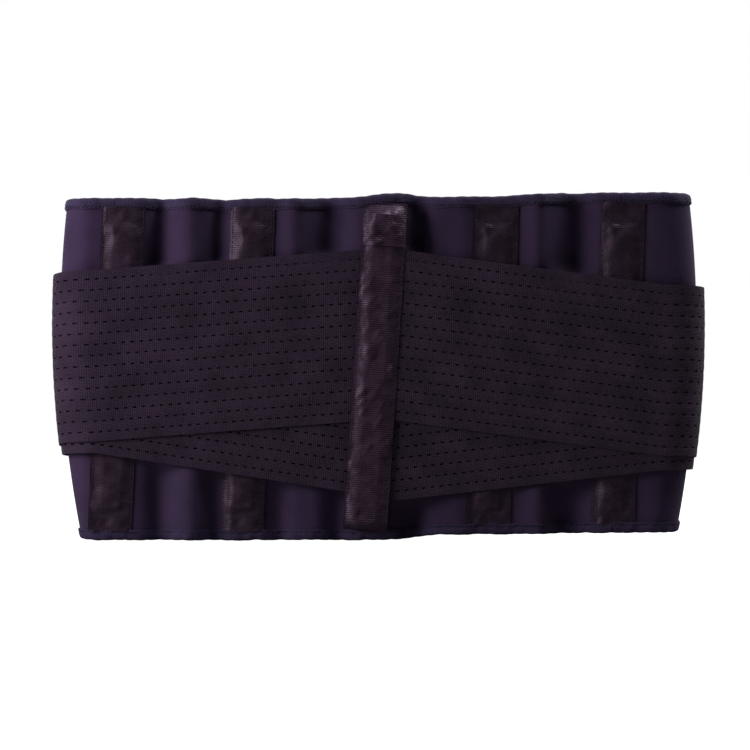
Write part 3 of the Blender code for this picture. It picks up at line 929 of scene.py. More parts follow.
@dataclass(frozen=True)
class Stretch:
    """A length of the belt between two cuts, and its body or bodies.

    Args:
        name: word for the stretch, used in piece names.
        start, end: distances along the plan line from the back seam, without sign.
        bodies: the body, or the two bodies that it lies between.
    """

    name: str
    start: float
    end: float
    bodies: tuple[str, ...]

    def carry(self, piece: bpy.types.Object, belt: Belt, side: Side) -> bpy.types.Object:
        """Makes a piece ride on this stretch's body. With two bodies it works out the bend's ends, which are
        not used, and bakes the piece's transform into its mesh.

        Args:
            piece: the piece to carry.
            belt: the plan line.
            side: which side of the back seam.

        Returns:
            The same piece.
        """
        if len(self.bodies) == 1:
            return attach(piece, self.bodies[0])
        first, second = self.bodies
        if first == "back":
            low, high = ((0, y - belt.centre_y, 0) for y in SIDE_BEND)
        elif first.endswith("side"):
            low, high = ((0, y - belt.centre_y, 0) for y in FRONT_BEND)
        elif second.endswith("pull"):
            low, high = (belt.at(side.value * s, 6 * MM, belt.waist_z) for s in PULL_BEND)
        else:
            low, high = (belt.at(side.value * s, 0, belt.waist_z) for s in TAB_BEND)
        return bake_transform(piece)


def places(belt: Belt, start: float, end: float, flat_step: float, extra: Iterable[float] = ()) -> Array:
    """Distances from start to end, with a step of its own on the flat back, round the fold and over the front.

    Args:
        belt: the plan line.
        start, end: first and last distance from the back seam.
        flat_step: spacing on the flat back.
        extra: further distances to put in.

    Returns:
        Distances in rising order.
    """
    cuts = [start]
    for low, high, step in (
        (0, belt.flat, flat_step),
        (belt.flat, belt.fold_end, 1.8 * MM),
        (belt.fold_end, 1.0, 4 * MM),
    ):
        first, last = max(low, start), min(high, end)
        if last > first:
            cuts += list(np.linspace(first, last, max(2, int((last - first) / step) + 1)))
    return np.unique(np.round(np.concatenate([cuts, list(extra)]), 6))


@dataclass(frozen=True)
class RoundEnd:
    """An end with two round corners: near it, both edges come in along a quarter circle."""

    end: float
    corner: float

    def bite(self, run: Array, inset: float) -> Array:
        """How far an edge comes in at a distance along the belt, for a line that lies inset from the outline.

        Args:
            run: distances along the belt.
            inset: how far the line lies inside the outline.

        Returns:
            A distance for each place, 0 before the corner.
        """
        radius = self.corner - inset
        past = np.clip(np.asarray(run) - (self.end - self.corner), 0, radius)
        return radius - np.sqrt(radius * radius - past * past)

    def places(self, inset: float) -> Array:
        """Distances at even angles round the corners."""
        turn = np.linspace(0, math.pi / 2, 12)
        return self.end - self.corner + (self.corner - inset) * np.sin(turn)


# ---------------------------------------------------------------- sub-assemblies


@dataclass
class PaddedStrip:
    """The belt's own body: foam-backed knit outside, brushed lining inside, and bound hems."""

    belt: Belt
    relief: Relief
    knit_step: float = 1.7 * MM
    knit_rows: int = 58
    lining_step: float = 2.4 * MM
    lining_rows: int = 40
    hem_step: float = 1.5 * MM
    hem_inset: float = 1.0 * MM
    binding_depth: float = 7.6 * MM
    zigzag_pitch: float = 2.6 * MM
    zigzag_height: float = 2.2 * MM
    thread: float = 0.2 * MM

    def relief_at(self, s: Array, z: Array) -> Array:
        """How far the cloth stands out at a place: the back's ridges, or past the fold the front's waves."""
        x = np.asarray(s, float) * self.belt.narrowing(z)
        return np.where(np.abs(s) < self.belt.mid_side, self.relief.out(x, z), self.relief.front(s, z))

    def faces(
        self, side: Side, run: Array, shares: Array, offset: float, end: RoundEnd | None
    ) -> tuple[Array, Array]:
        """Points and cloth coordinates of one face of the strip.

        Args:
            side: which side of the back seam.
            run: distances from the back seam.
            shares: 0 at the lower hem to 1 at the upper one.
            offset: the face's distance from the middle line.
            end: round end, if the strip stops here.

        Returns:
            Points, and cloth coordinates, each rows by columns.
        """
        s = side.value * run[:, None]
        bite = end.bite(run, self.hem_inset)[:, None] if end else 0.0
        low = self.belt.hem_low(s) + self.hem_inset + bite
        high = self.belt.hem_high(s) - self.hem_inset - bite
        z = low + (high - low) * shares[None]
        points = self.belt.at(s, offset + self.relief_at(s, z), z)
        return points, join(s, z)

    def layer(
        self, name: str, side: Side, stretch: Stretch, end: RoundEnd | None, step: float, rows: int,
        offsets: tuple[float, float], finish: Finish,
    ) -> bpy.types.Object:
        """One layer of a stretch, a slab between two offsets from the middle line.

        Args:
            name: the piece's name.
            side: which side of the back seam.
            stretch: the length to make.
            end: round end, if the strip stops here.
            step: spacing of its points on the flat back.
            rows: number of its points from hem to hem.
            offsets: its outer and inner face.
            finish: what it is made of.

        Returns:
            The new object.
        """
        extra = end.places(self.hem_inset) if end else ()
        stop = stretch.end - (self.hem_inset if end else 0)
        run = places(self.belt, stretch.start, stop, step, extra)
        shares = np.linspace(0, 1, rows)
        (outer, uv), (inner, _) = (self.faces(side, run, shares, out, end) for out in offsets)
        return slab(name, outer, inner, uv, finish)

    def cloth(self, side: Side, stretch: Stretch, nodes: Sequence[str], end: RoundEnd | None = None) -> None:
        """Makes the outer knit of one stretch, a slab between the shell's two faces.

        Args:
            side: which side of the back seam.
            stretch: the length to make.
            nodes: frame nodes that it replaces.
            end: round end, if the strip stops here.
        """
        name, half = f"{side.word}_{stretch.name}_knit", self.belt.layers.shell
        piece = self.layer(name, side, stretch, end, self.knit_step, self.knit_rows, (half, -half), FOAM_KNIT)
        dress(piece, nodes)
        stretch.carry(piece, self.belt, side)

    def lining(self, side: Side, stretch: Stretch, nodes: Sequence[str], end: RoundEnd | None = None) -> None:
        """Makes the thin lining of one stretch, which follows the knit's relief.

        Args:
            side: which side of the back seam.
            stretch: the length to make.
            nodes: frame nodes that it replaces.
            end: round end, if the strip stops here.
        """
        name = f"{side.word}_{stretch.name}_lining_cloth"
        offsets = (self.belt.layers.lining_face, self.belt.layers.lining_back)
        piece = self.layer(name, side, stretch, end, self.lining_step, self.lining_rows, offsets, LINING)
        dress(piece, nodes)
        stretch.carry(piece, self.belt, side)
        self.cut_area(side, stretch)

    def cut_area(self, side: Side, stretch: Stretch) -> float:
        """Flat area of a stretch of the strip: its length times the mean height between its hems."""
        s = side.value * np.linspace(stretch.start, stretch.end, 60)
        return float(np.mean(self.belt.hem_high(s) - self.belt.hem_low(s)) * (stretch.end - stretch.start))

    def edge_path(self, side: Side, stretch: Stretch, upper: bool | None, end: RoundEnd | None) -> Array:
        """Places along a hem, as rows of s, z, outward s, outward z, at the fold of the binding.

        Args:
            side: which side of the back seam.
            stretch: the length to follow.
            upper: the upper or the lower hem, or None to go out along the lower one and back along the upper.
            end: round end that the path goes round, if it follows both hems.

        Returns:
            An n by 4 array.
        """
        belt = self.belt
        stop = stretch.end if end is None else end.end - end.corner
        run = places(belt, stretch.start, stop, self.hem_step)
        s = side.value * run
        low = join(s, belt.hem_low(s), 0.0, -1.0)
        high = join(s, belt.hem_high(s), 0.0, 1.0)
        if upper is not None or end is None:
            return high if upper else low
        turn = np.linspace(0, math.pi / 2, 14)[1:]
        out_s, out_z = side.value * np.sin(turn), -np.cos(turn)
        corner_s = side.value * (stop + end.corner * np.sin(turn))
        corner_low = belt.hem_low(corner_s) + end.corner * (1 - np.cos(turn))
        corner_high = belt.hem_high(corner_s) - end.corner * (1 - np.cos(turn))
        first = join(corner_s, corner_low, out_s, out_z)
        last = join(corner_s, corner_high, out_s, -out_z)
        rise = np.linspace(corner_low[-1], corner_high[-1], 40)[1:-1]
        upright = join(side.value * end.end, rise, float(side.value), 0 * rise)
        return np.concatenate([low, first, upright, last[::-1], high[::-1]])

    def binding_section(self) -> Array:
        """Outline of the folded tape, as rows of offset and depth from the fold: a thick U with rolled edges.

        Returns:
            An 18 by 2 array.
        """
        layers = self.belt.layers
        outside, inside = layers.binding + 0.2 * MM, layers.binding_back
        wrap = np.linspace(0, math.pi, 9)
        middle, half = (outside + inside) / 2, (outside - inside) / 2
        over = join(middle + half * np.cos(wrap), 1.9 * MM * (1 - np.sin(wrap)))
        depth = self.binding_depth
        leg_out = [
            (layers.shell + 0.25 * MM, depth),
            (layers.binding, depth + 0.1 * MM),
            (outside - 0.1 * MM, depth - 0.8 * MM),
            (outside + 0.25 * MM, 4.2 * MM),
        ]
        leg_in = [(inside, depth - 0.6 * MM), (inside + 0.5 * MM, depth)]
        lining, shell = layers.lining_back - 0.2 * MM, layers.shell + 0.2 * MM
        core = [(lining, depth - 0.2 * MM), (lining, 1.2 * MM), (shell, 1.2 * MM)]
        return np.concatenate([leg_out, over, leg_in, core])

    def hem_points(self, path: Array, offset: Array, depth: Array) -> Array:
        """World points at a depth inside a hem's fold and an offset from the middle line.

        Args:
            path: the hem's places, from edge_path.
            offset: distances from the middle line.
            depth: distances inside the hem's fold.

        Returns:
            Points, with x, y, z on the last axis.
        """
        s = path[:, None, 0] - depth * path[:, None, 2]
        z = path[:, None, 1] - depth * path[:, None, 3]
        return self.belt.at(s, offset + self.relief_at(s, z), z)

    def binding(self, name: str, side: Side, stretch: Stretch, path: Array, nodes: Sequence[str]) -> None:
        """Makes a folded binding along a path, and the zigzag thread near its inner edge.

        The fold is pulled in between points 9 mm apart, the outer leg puckers, and its inner edge ripples.

        Args:
            name: word for the hem, used in the pieces' names.
            side: which side of the back seam.
            stretch: the length that it belongs to.
            path: the hem's places, from edge_path.
            nodes: frame nodes that it replaces.
        """
        section = self.binding_section()
        out, deep = section[None, :, 0], section[None, :, 1]
        along, around = (
            np.concatenate([[0], np.cumsum(np.linalg.norm(np.diff(line, axis=0), axis=1))])
            for line in (path[:, :2], section)
        )
        pull = 0.28 * MM * (1 - np.abs(np.sin(math.pi * along / (9 * MM))))[:, None]
        pucker = 0.55 * MM * cloth_noise(along, 0 * along, (4.5 * MM, 1), 33)[:, None]
        bulge = pucker * (out > 0) * np.sin(math.pi * np.clip(deep / (7 * MM), 0, 1))
        ripple = 0.35 * MM * cloth_noise(along, 0 * along, (6 * MM, 1), 34)[:, None]
        depth = deep + pull * (deep < 3 * MM) + ripple * (deep > 6 * MM)
        rings = self.hem_points(path, out + bulge, depth)
        uv = join(along[:, None], around[None])
        piece = tube(f"{side.word}_{stretch.name}_{name}_binding_tape", rings, uv, BINDING, 60)
        dress(piece, nodes)
        stretch.carry(piece, self.belt, side)
        self.zigzag(name, side, stretch, path, along)

    def zigzag(self, name: str, side: Side, stretch: Stretch, path: Array, along: Array) -> None:
        """Sews the binding: thread from depth to depth, half a pitch forward each time.

        Args:
            name: word for the hem, used in the piece's name.
            side: which side of the back seam.
            stretch: the length that it belongs to.
            path: the hem's places, from edge_path.
            along: distance of each place along the path.
        """
        stops = np.arange(1 * MM, along[-1] - 1 * MM, self.zigzag_pitch / 2)
        knots = np.stack([np.interp(stops, along, path[:, k]) for k in range(4)], axis=-1)
        swing = np.where(np.arange(len(stops)) % 2 == 0, -0.5, 0.5) * self.zigzag_height
        depth = self.binding_depth - 1.6 * MM + swing
        lift = self.belt.layers.binding + 0.2 * MM
        points = self.hem_points(knots, np.full((len(knots), 1), lift), depth[:, None])[:, 0]
        above = self.hem_points(knots, np.full((len(knots), 1), lift + 1 * MM), depth[:, None])[:, 0]
        zigzag = f"{side.word}_{stretch.name}_{name}_zigzag"
        piece = stitches(zigzag, points[:-1], points[1:], (above - points)[:-1], self.thread)
        dress(piece)
        stretch.carry(piece, self.belt, side)


@dataclass
class Tapes:
    """Satin woven tapes over the stays: four sewn channels, the open centre pocket, and its flap."""

    belt: Belt
    relief: Relief
    tape: float = 0.5 * MM
    crown: float = 1.75 * MM
    crown_flat: float = 10.8 * MM
    crown_foot: float = 28.6 * MM
    stay_low: float = 24.6 * MM
    stay_high: float = 215.4 * MM
    end_tuck: float = 6.6 * MM
    stitch: float = 2.8 * MM
    stitch_gap: float = 0.6 * MM
    stitch_inset: float = 1.5 * MM
    thread: float = 0.19 * MM

    def puff(self, across: Array, z: Array, low: float, high: float) -> Array:
        """Height of a channel over its stay: a rounded hat, full along the stay and slack past its ends.

        Args:
            across, z: distances from the tape's middle, and heights.
            low, high: heights of the stay's ends.

        Returns:
            A height at each place.
        """
        reach = 1 - smooth(np.abs(across), self.crown_flat / 2, self.crown_foot / 2)
        length = smooth(z, low - 6 * MM, low - 0.3 * MM) * (1 - smooth(z, high + 0.3 * MM, high + 6 * MM))
        knuckle = 1.6 * MM * (bell(z, low + 8 * MM, 7 * MM) + bell(z, high - 8 * MM, 7 * MM))
        return (self.crown * (0.15 + 0.85 * length) + knuckle * bell(across, -2 * MM, 6 * MM)) * reach

    def crinkle(self, line: TapeLine, across: Array, z: Array, amount: float) -> Array:
        """Creases of the slack satin: diagonal soft lumps, none at the stitched edges.

        Args:
            line: the tape, whose name picks the creases.
            across, z: distances from the tape's middle, and heights.
            amount: height of the largest creases, in any unit.

        Returns:
            A height at each place, in that unit.
        """
        seed = 20 + 7 * len(line.name)
        wide = cloth_noise(across + 0.45 * z, z, (11 * MM, 13 * MM), seed)
        fine = cloth_noise(across - 0.6 * z, z, (5 * MM, 6 * MM), seed + 1)
        free = 1 - smooth(np.abs(across), line.width / 2 - 3 * MM, line.width / 2 - 0.5 * MM)
        return amount * (wide + 0.5 * fine) * free

    def strip(self, name: str, line: TapeLine, low: float, high: float, lift: Lift) -> bpy.types.Object:
        """A length of tape, thin, over the height that lift gives.

        Args:
            name: the piece's name.
            line: where the tape lies.
            low, high: heights of its two ends.
            lift: offset of its inner face from the middle line, at x, across and z.

        Returns:
            The new object.
        """
        across = np.linspace(-line.width / 2, line.width / 2, 49)[None]
        z = np.linspace(low, high, max(8, int((high - low) / (1.0 * MM))))[:, None]
        wavy = across * (1 + 0.012 * cloth_noise(z, 0 * z, (7 * MM, 1), 40 + len(name)))
        middle = line.x_at(z, self.belt.height)
        x = middle + wavy / math.cos(line.lean)
        height = z - across * math.sin(line.lean)
        inner = lift(x, across, height)
        thick = self.tape * np.where(np.abs(across) > line.width / 2 - 0.4 * MM, 1.25, 1.0)
        outer, inner = (join(x, -out - self.belt.centre_y, height) for out in (inner + thick, inner))
        # The channel tapes take the darker copy of the satin: painted shade.
        return slab(name, outer, inner, join(across, z), SATIN if line is CENTRE_LINE else SHADED_CHANNEL_SATIN)

    def edge_stitches(
        self, name: str, line: TapeLine, low: float, high: float, lift: Lift
    ) -> bpy.types.Object:
        """Running stitch down both edges of a tape, lying on its face.

        Args:
            name: the piece's name.
            line: where the tape lies.
            low, high: heights of the first and last stitch.
            lift: offset of the tape's inner face from the middle line, at x, across and z.

        Returns:
            The new object.
        """
        pitch = self.stitch + self.stitch_gap
        z = np.arange(low, high - pitch, pitch)
        runs = []
        for sign in (-1, 1):
            across = sign * (line.width / 2 - self.stitch_inset)
            ends = []
            for height in (z, z + self.stitch):
                x = line.x_at(height, self.belt.height) + across
                out = lift(x, np.full(len(z), across), height) + self.tape + 0.05 * MM
                ends.append(np.stack([x, -out - self.belt.centre_y, height], axis=-1))
            runs.append(ends)
        starts, ends = (np.concatenate([run[k] for run in runs]) for k in (0, 1))
        return stitches(name, starts, ends, np.tile([0.0, -1.0, 0.0], (len(starts), 1)), self.thread)

    def channel(self, line: TapeLine) -> None:
        """Makes one sewn channel's tape and its stitching.

        Args:
            line: where the tape lies.
        """

        def lift(x: Array, across: Array, z: Array) -> Array:
            """Inner face of the tape: on the body, plus the puff over the stay and the creases past its ends.

            Args:
                x, across, z: place on the back, distance from the tape's middle, and height.

            Returns:
                Offset from the shell's middle line.
            """
            past = smooth(z, self.stay_high - 9 * MM, self.stay_high) + 1
            past = past - smooth(z, self.stay_low, self.stay_low + 9 * MM)
            body, near_edge = self.relief.out(x, z), smooth(np.abs(across), 6.5 * MM, 11 * MM)
            body = body * near_edge + np.maximum(body, -0.1 * MM) * (1 - near_edge)
            base = self.belt.layers.channel_base + 0.05 * MM + body
            crease = self.crinkle(line, across, z, 1.0) * (0.22 + 0.75 * past) * MM
            return base + np.maximum(self.puff(across, z, self.stay_low, self.stay_high) + crease, 0)

        x = np.array([line.x_at(0, self.belt.height), line.x_at(self.belt.height, self.belt.height)])
        low = float(self.belt.hem_low(x[0])) + self.end_tuck
        high = float(self.belt.hem_high(x[1])) - self.end_tuck
        piece = self.strip(f"channel_{line.name}_satin", line, low, high, lift)
        dress(piece, [f"channel_tape_{line.name}"])
        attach(piece, "back")
        sewn = self.edge_stitches(f"channel_{line.name}_stitching", line, low + 1 * MM, high - 1 * MM, lift)
        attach(dress(sewn), "back")

    def centre(self) -> None:
        """Makes the centre pocket's tape, the flap over its mouth, and their stitching."""
        line = CENTRE_LINE
        stay_low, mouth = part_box("centre_stay")[0].z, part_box("centre_tape")[1].z
        low = float(self.belt.hem_low(line.x_at(0, self.belt.height))) + self.end_tuck

        def lift(x: Array, across: Array, z: Array) -> Array:
            """Inner face of the pocket's tape: over the straps, dropping on to the body past their lower edge.

            Args:
                x, across, z: place on the back, distance from the tape's middle, and height.

            Returns:
                Offset from the shell's middle line.
            """
            drop, layers = smooth(z, stay_low - 8 * MM, stay_low), self.belt.layers
            base = layers.channel_base + (layers.centre_base - layers.channel_base) * drop
            slack = 2.25 * MM * (1 - smooth(np.abs(across), 5.5 * MM, 14.6 * MM)) * drop
            return base + slack + np.maximum(self.crinkle(line, across, z, 1.5 * MM), 0.0)

        piece = self.strip("centre_pocket_satin", line, low, mouth, lift)
        dress(piece, ["centre_tape"])
        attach(piece, "back")
        sewn = self.edge_stitches("centre_pocket_stitching", line, low + 1 * MM, mouth - 1 * MM, lift)
        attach(dress(sewn), "back")
        self.flap(line, mouth)

    def flap(self, line: TapeLine, mouth: float) -> None:
        """Makes the short flap: sewn under the upper hem, bulging at once, its hem over the pocket's mouth.

        Args:
            line: where the centre tape lies.
            mouth: height of the pocket's mouth.
        """
        top = float(self.belt.hem_high(line.x_at(self.belt.height, self.belt.height))) - self.end_tuck
        low = mouth - 3.5 * MM

        def lift(x: Array, across: Array, z: Array) -> Array:
            """Inner face of the flap: its edges slope out to the pocket, and its middle clears the stay's way.

            Args:
                x, across, z: place on the back, distance from the tape's middle, and height.

            Returns:
                Offset from the shell's middle line.
            """
            base = self.belt.layers.channel_base
            clear = self.belt.layers.centre_outside + 0.3 * MM - base
            edge = 6.9 * MM * (1 - smooth(z, mouth + 1 * MM, top))
            middle = clear * (1 - smooth(z, top - 9 * MM, top - 1 * MM))
            bulge = np.maximum(middle - edge, 0) * (1 - smooth(np.abs(across), 6 * MM, 14.8 * MM))
            hem = 1.3 * MM * (1 - smooth(z, low, low + 9 * MM)) * bell(across, -6 * MM, 7 * MM)
            wave = np.maximum(self.crinkle(line, across, z, 1.8 * MM), 0)
            return base + edge + bulge + hem + wave * (1 - smooth(z, top - 6 * MM, top))

        piece = self.strip("centre_flap_satin", line, low, top, lift)
        dress(piece, ["centre_tape_head"])
        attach(piece, "back")
        sewn = self.edge_stitches("centre_flap_stitching", line, low + 2 * MM, top - 1 * MM, lift)
        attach(dress(sewn), "back")

    def build(self) -> None:
        """Makes every tape, and gives the stays their finishes."""
        coating, steel = STAY_COATING.material(), SPRING_STEEL.material()
        for line in self.relief.tapes:
            self.channel(line)
            refinish(f"stay_{line.name}", coating)
        self.centre()
        refinish("centre_stay", steel)
        for end in ("top", "bottom"):
            refinish(f"centre_stay_{end}_cap", coating)


def refinish(node: str, material: bpy.types.Material) -> None:
    """Gives a frame node that stays in view its material.

    Args:
        node: the frame node.
        material: its material.
    """
    shown = bpy.data.objects[node]
    shown.data.materials.clear()
    shown.data.materials.append(material)
    log.info("%s: finished as %s", node, material.name)


@dataclass
class PullStrap:
    """One perforated elastic strap, from the centre tape round the side to its pull pad."""

    belt: Belt
    relief: Relief
    line: StrapLine
    hole: float = 2.6 * MM
    hole_height: float = 1.0 * MM
    pitch: float = 6.2 * MM
    rows: int = 15
    margin: float = 6.3 * MM
    rib_lift: float = 0.16 * MM
    seam_gap: float = 0.8 * MM

    def across(self) -> tuple[Array, Array]:
        """Lines across the strap, and which row each gap between them cuts, or -1.

        Returns:
            Distances from the strap's lower edge, and the row number of each gap.
        """
        row = np.arange(self.rows)
        middle = self.margin + row * (StrapLine.width - 2 * self.margin) / (self.rows - 1)
        step = middle[1] - middle[0]
        cuts = middle[:, None] + self.hole_height / 2 * np.array([-1.0, 1.0])
        between = middle[:-1, None] + step * np.array([0.36, 0.64])
        edges = np.array([0, 0.5 * MM, self.margin / 2])
        edges = np.concatenate([edges, StrapLine.width - edges])
        lines = np.unique(np.round(np.concatenate([cuts.ravel(), between.ravel(), edges]), 7))
        gap = (lines[:-1] + lines[1:]) / 2
        nearest = np.argmin(np.abs(gap[:, None] - middle[None]), axis=1)
        cut = np.abs(gap - middle[nearest]) < self.hole_height / 2
        return lines, np.where(cut, nearest, -1)

    def along(self, start: float, end: float) -> tuple[Array, Array]:
        """Lines along the strap between two whole pitches, four to a pitch, and each gap's place in its pitch.

        Args:
            start, end: distances along the plan line, at whole pitches.

        Returns:
            The lines' distances, and for each gap its number in its pitch, from 0 to 3.
        """
        first, last = round(start / self.pitch), round(end / self.pitch)
        knots = np.array([0, self.hole, self.pitch / 2, self.pitch / 2 + self.hole])
        lines = (np.arange(first, last)[:, None] * self.pitch + knots[None]).ravel()
        phase = np.tile(np.arange(4), last - first)
        return np.append(lines, last * self.pitch), phase

    def surface(self, run: Array, v: Array) -> tuple[Array, Array, Array]:
        """Outer face, inner face and cloth coordinates of the strap at run and v.

        Args:
            run: distances along the plan line.
            v: distances from the lower edge.

        Returns:
            Points of the outer face, points of the inner one, and cloth coordinates.
        """
        s = self.line.side.value * run[:, None]
        z = self.line.low(s) + v[None]
        row = (StrapLine.width - 2 * self.margin) / (self.rows - 1)
        rib = self.rib_lift * np.sin(math.pi * (v[None] - self.margin) / row) ** 2
        seed = 60 + self.line.side.value * 3 + len(self.line.level.value)
        lift = self.relief.strap(s, z, seed)
        fine = 0.05 * MM * cloth_noise(s, z, (4 * MM, 4 * MM), seed + 9)
        outer = self.belt.at(s, self.line.face + self.belt.layers.strap + lift + rib + fine, z)
        inner = self.belt.at(s, self.line.face + lift, z)
        return outer, inner, join(run[:, None], v[None])

    def build(self, stretches: Sequence[Stretch]) -> None:
        """Makes the strap in its three stretches. The last one's end is tucked into the pull pad.

        Args:
            stretches: the three stretches, from strap_stretches.
        """
        v, rows = self.across()
        word = f"{self.line.level.value}_strap_{self.line.side.word}"
        nodes = {"round_back": ["back"], "round_side": ["side"], "to_pad": ["turn", "pull"]}
        for stretch in stretches:
            run, phase = self.along(stretch.start, stretch.end)
            if stretch.start == 0:
                run[0] = self.seam_gap
            outer, inner, uv = self.surface(run, v)
            wanted = np.where(rows[None] % 2 == 0, 0, 2)
            holes = (rows[None] >= 0) & (phase[:, None] == wanted)
            piece = slab(f"{word}_{stretch.name}", outer, inner, uv, ELASTIC, holes)
            dress(piece, [f"{word}_{part}" for part in nodes[stretch.name]])
            stretch.carry(piece, self.belt, self.line.side)


@dataclass
class PullPad:
    """The pad that a side's two straps are sewn into, with hook tape behind it."""

    belt: Belt
    side: Side
    start: float = StrapLine.pad_start
    length: float = 80 * MM
    rise: float = StrapLine.pad_rise
    height: float = StrapLine.width
    corner: float = 9 * MM
    inner_face: float = 3.55 * MM
    outer_face: float = 7.5 * MM
    crown: float = 0.9 * MM
    hook_faces: tuple[float, float] = (3.3 * MM, 2.05 * MM)
    stitch_inset: float = 5 * MM
    thread: float = 0.22 * MM

    def outline(self, inset: float) -> tuple[Array, Array, Array]:
        """A grid over the pad with round corners.

        Args:
            inset: how far the outline lies inside the pad's own.

        Returns:
            Distances along the belt, heights, and the distance of each point from the nearest edge.
        """
        turn = np.linspace(0, math.pi / 2, 9)
        radius = self.corner - inset
        near = self.start + inset + radius * (1 - np.sin(turn))[::-1]
        far = self.start + self.length - inset - radius * (1 - np.sin(turn))
        run = np.unique(np.round(np.concatenate([near, np.linspace(near[-1], far[0], 30), far]), 6))
        past = np.maximum(self.start + self.corner - run, run - (self.start + self.length - self.corner))
        past = np.clip(past, 0, radius)
        bite = radius - np.sqrt(np.maximum(radius**2 - past**2, 0))
        share = (1 - np.cos(np.linspace(0, math.pi, 60))) / 2
        low = self.rise + inset + bite
        z = low[:, None] + (self.height - 2 * inset - 2 * bite)[:, None] * share[None]
        side_way = np.minimum(run - self.start, self.start + self.length - run)[:, None]
        edge = np.minimum(side_way, np.minimum(z - self.rise, self.rise + self.height - z)) - inset
        return run, z, edge

    def build(self) -> None:
        """Makes the pad, its box of topstitching, and its hook tape."""
        body, word = f"{self.side.word}_pull", self.side.word
        middle, half = (self.inner_face + self.outer_face) / 2, (self.outer_face - self.inner_face) / 2
        run, z, edge = self.outline(0.0)
        s = self.side.value * run[:, None]
        roll = np.sqrt(np.clip(edge / (1.6 * MM), 0, 1))
        groove = 0.55 * MM * bell(edge, self.stitch_inset, 1.1 * MM)
        outside = middle + half * roll + self.crown * smooth(edge, self.stitch_inset, 20 * MM) - groove
        outer, inner = (self.belt.at(s, out, z) for out in (outside, middle - half * roll))
        pad = slab(f"{word}_pull_pad_knit", outer, inner, join(run[:, None], z), PAD_KNIT)
        dress(pad, [f"{word}_pull_pad"])
        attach(pad, body)
        self.hooks(body, word)
        self.topstitch(body, word)

    def hooks(self, body: str, word: str) -> None:
        """Makes the hook tape on the pad's inner face.

        Args:
            body: the pad's body.
            word: the side's name.
        """
        run, z, _ = self.outline(self.stitch_inset)
        outer, inner = (self.belt.at(self.side.value * run[:, None], out, z) for out in self.hook_faces)
        tape = slab(f"{word}_pull_hook_tape", outer, inner, join(run[:, None], z), HOOKS)
        dress(tape, [f"{word}_pull_hook"])
        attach(tape, body)

    def topstitch(self, body: str, word: str) -> None:
        """Sews a box of running stitch inside the pad's edge, and a second row where the straps enter.

        Args:
            body: the pad's body.
            word: the side's name.
        """
        pitch, length = 3.4 * MM, 2.7 * MM
        near, far = self.start + self.stitch_inset, self.start + self.length - self.stitch_inset
        low, top = self.rise + self.stitch_inset, self.rise + self.height - self.stitch_inset
        second = near + 4 * MM
        rows = [
            ((near, low), (far, low)),
            ((far, low), (far, top)),
            ((far, top), (near, top)),
            ((near, top), (near, low)),
            ((second, low), (second, top)),
        ]
        starts, ends = [], []
        for (run0, z0), (run1, z1) in rows:
            span = math.hypot(run1 - run0, z1 - z0)
            at = np.arange(0.4 * MM, span - length, pitch)
            for found, place in ((starts, at), (ends, at + length)):
                share = place / span
                found.append(join(run0 + (run1 - run0) * share, z0 + (z1 - z0) * share))
        sunk, above = self.outer_face - 0.4 * MM, self.outer_face + 0.6 * MM
        starts, ends = np.concatenate(starts), np.concatenate(ends)
        sign, belt = self.side.value, self.belt
        first, raised = (belt.at(sign * starts[:, 0], out, starts[:, 1]) for out in (sunk, above))
        last = belt.at(sign * ends[:, 0], sunk, ends[:, 1])
        piece = stitches(f"{word}_pull_pad_stitching", first, last, raised - first, self.thread)
        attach(dress(piece), body)


@dataclass
class Closure:
    """The fastening over the front centre: hook tape inside the tab, and loop pile on the right front."""

    belt: Belt
    patch_inset: float = 13 * MM
    loop_length: float = 60 * MM
    loop_end: float = 452.3 * MM
    corner: float = 6 * MM

    def patch(
        self, name: str, side: Side, start: float, end: float, faces: tuple[float, float], finish: Finish
    ) -> bpy.types.Object:
        """A fastener patch with round corners, between two offsets.

        Args:
            name: the piece's name.
            side: which side of the back seam.
            start, end: distances from the back seam.
            faces: offsets of its outer and inner face.
            finish: what it is made of.

        Returns:
            The new object.
        """
        corner = self.corner
        turn = np.linspace(0, math.pi / 2, 7)
        middle = np.linspace(start + corner, end - corner, 14)[1:-1]
        near, far = start + corner * (1 - np.cos(turn)), end - corner + corner * np.sin(turn)
        run = np.concatenate([near, middle, far])
        past = np.clip(np.maximum(start + corner - run, run - end + corner), 0, corner)
        bite = corner - np.sqrt(np.maximum(corner**2 - past**2, 0))
        low = self.patch_inset + bite
        high = self.belt.front_height - self.patch_inset - bite
        z = low[:, None] + (high - low)[:, None] * np.linspace(0, 1, 40)[None]
        s = side.value * run[:, None]
        lumps = 0.12 * MM * cloth_noise(s, z, (3 * MM, 3 * MM), 90)
        outer, inner = (self.belt.at(s, out + lumps, z) for out in faces)
        return slab(name, outer, inner, join(s, z), finish)

    def build(self) -> None:
        """Makes both patches."""
        face = self.belt.layers.shell + 0.25 * MM
        start, pile = self.loop_end - self.loop_length, face + 0.9 * MM
        loops = self.patch("closure_loop_pile", Side.RIGHT, start, self.loop_end, (pile, face), LOOPS)
        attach(dress(loops, ["closure_loop_patch"]), "right_front")
        start, end = self.belt.front + self.patch_inset, self.belt.tab_end - self.patch_inset
        hooks = self.patch("closure_hook_tape", Side.LEFT, start, end, (-face, -face - 1.2 * MM), HOOKS)
        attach(dress(hooks, ["closure_hook_patch"]), "closure_tab")


# ---------------------------------------------------------------- studio


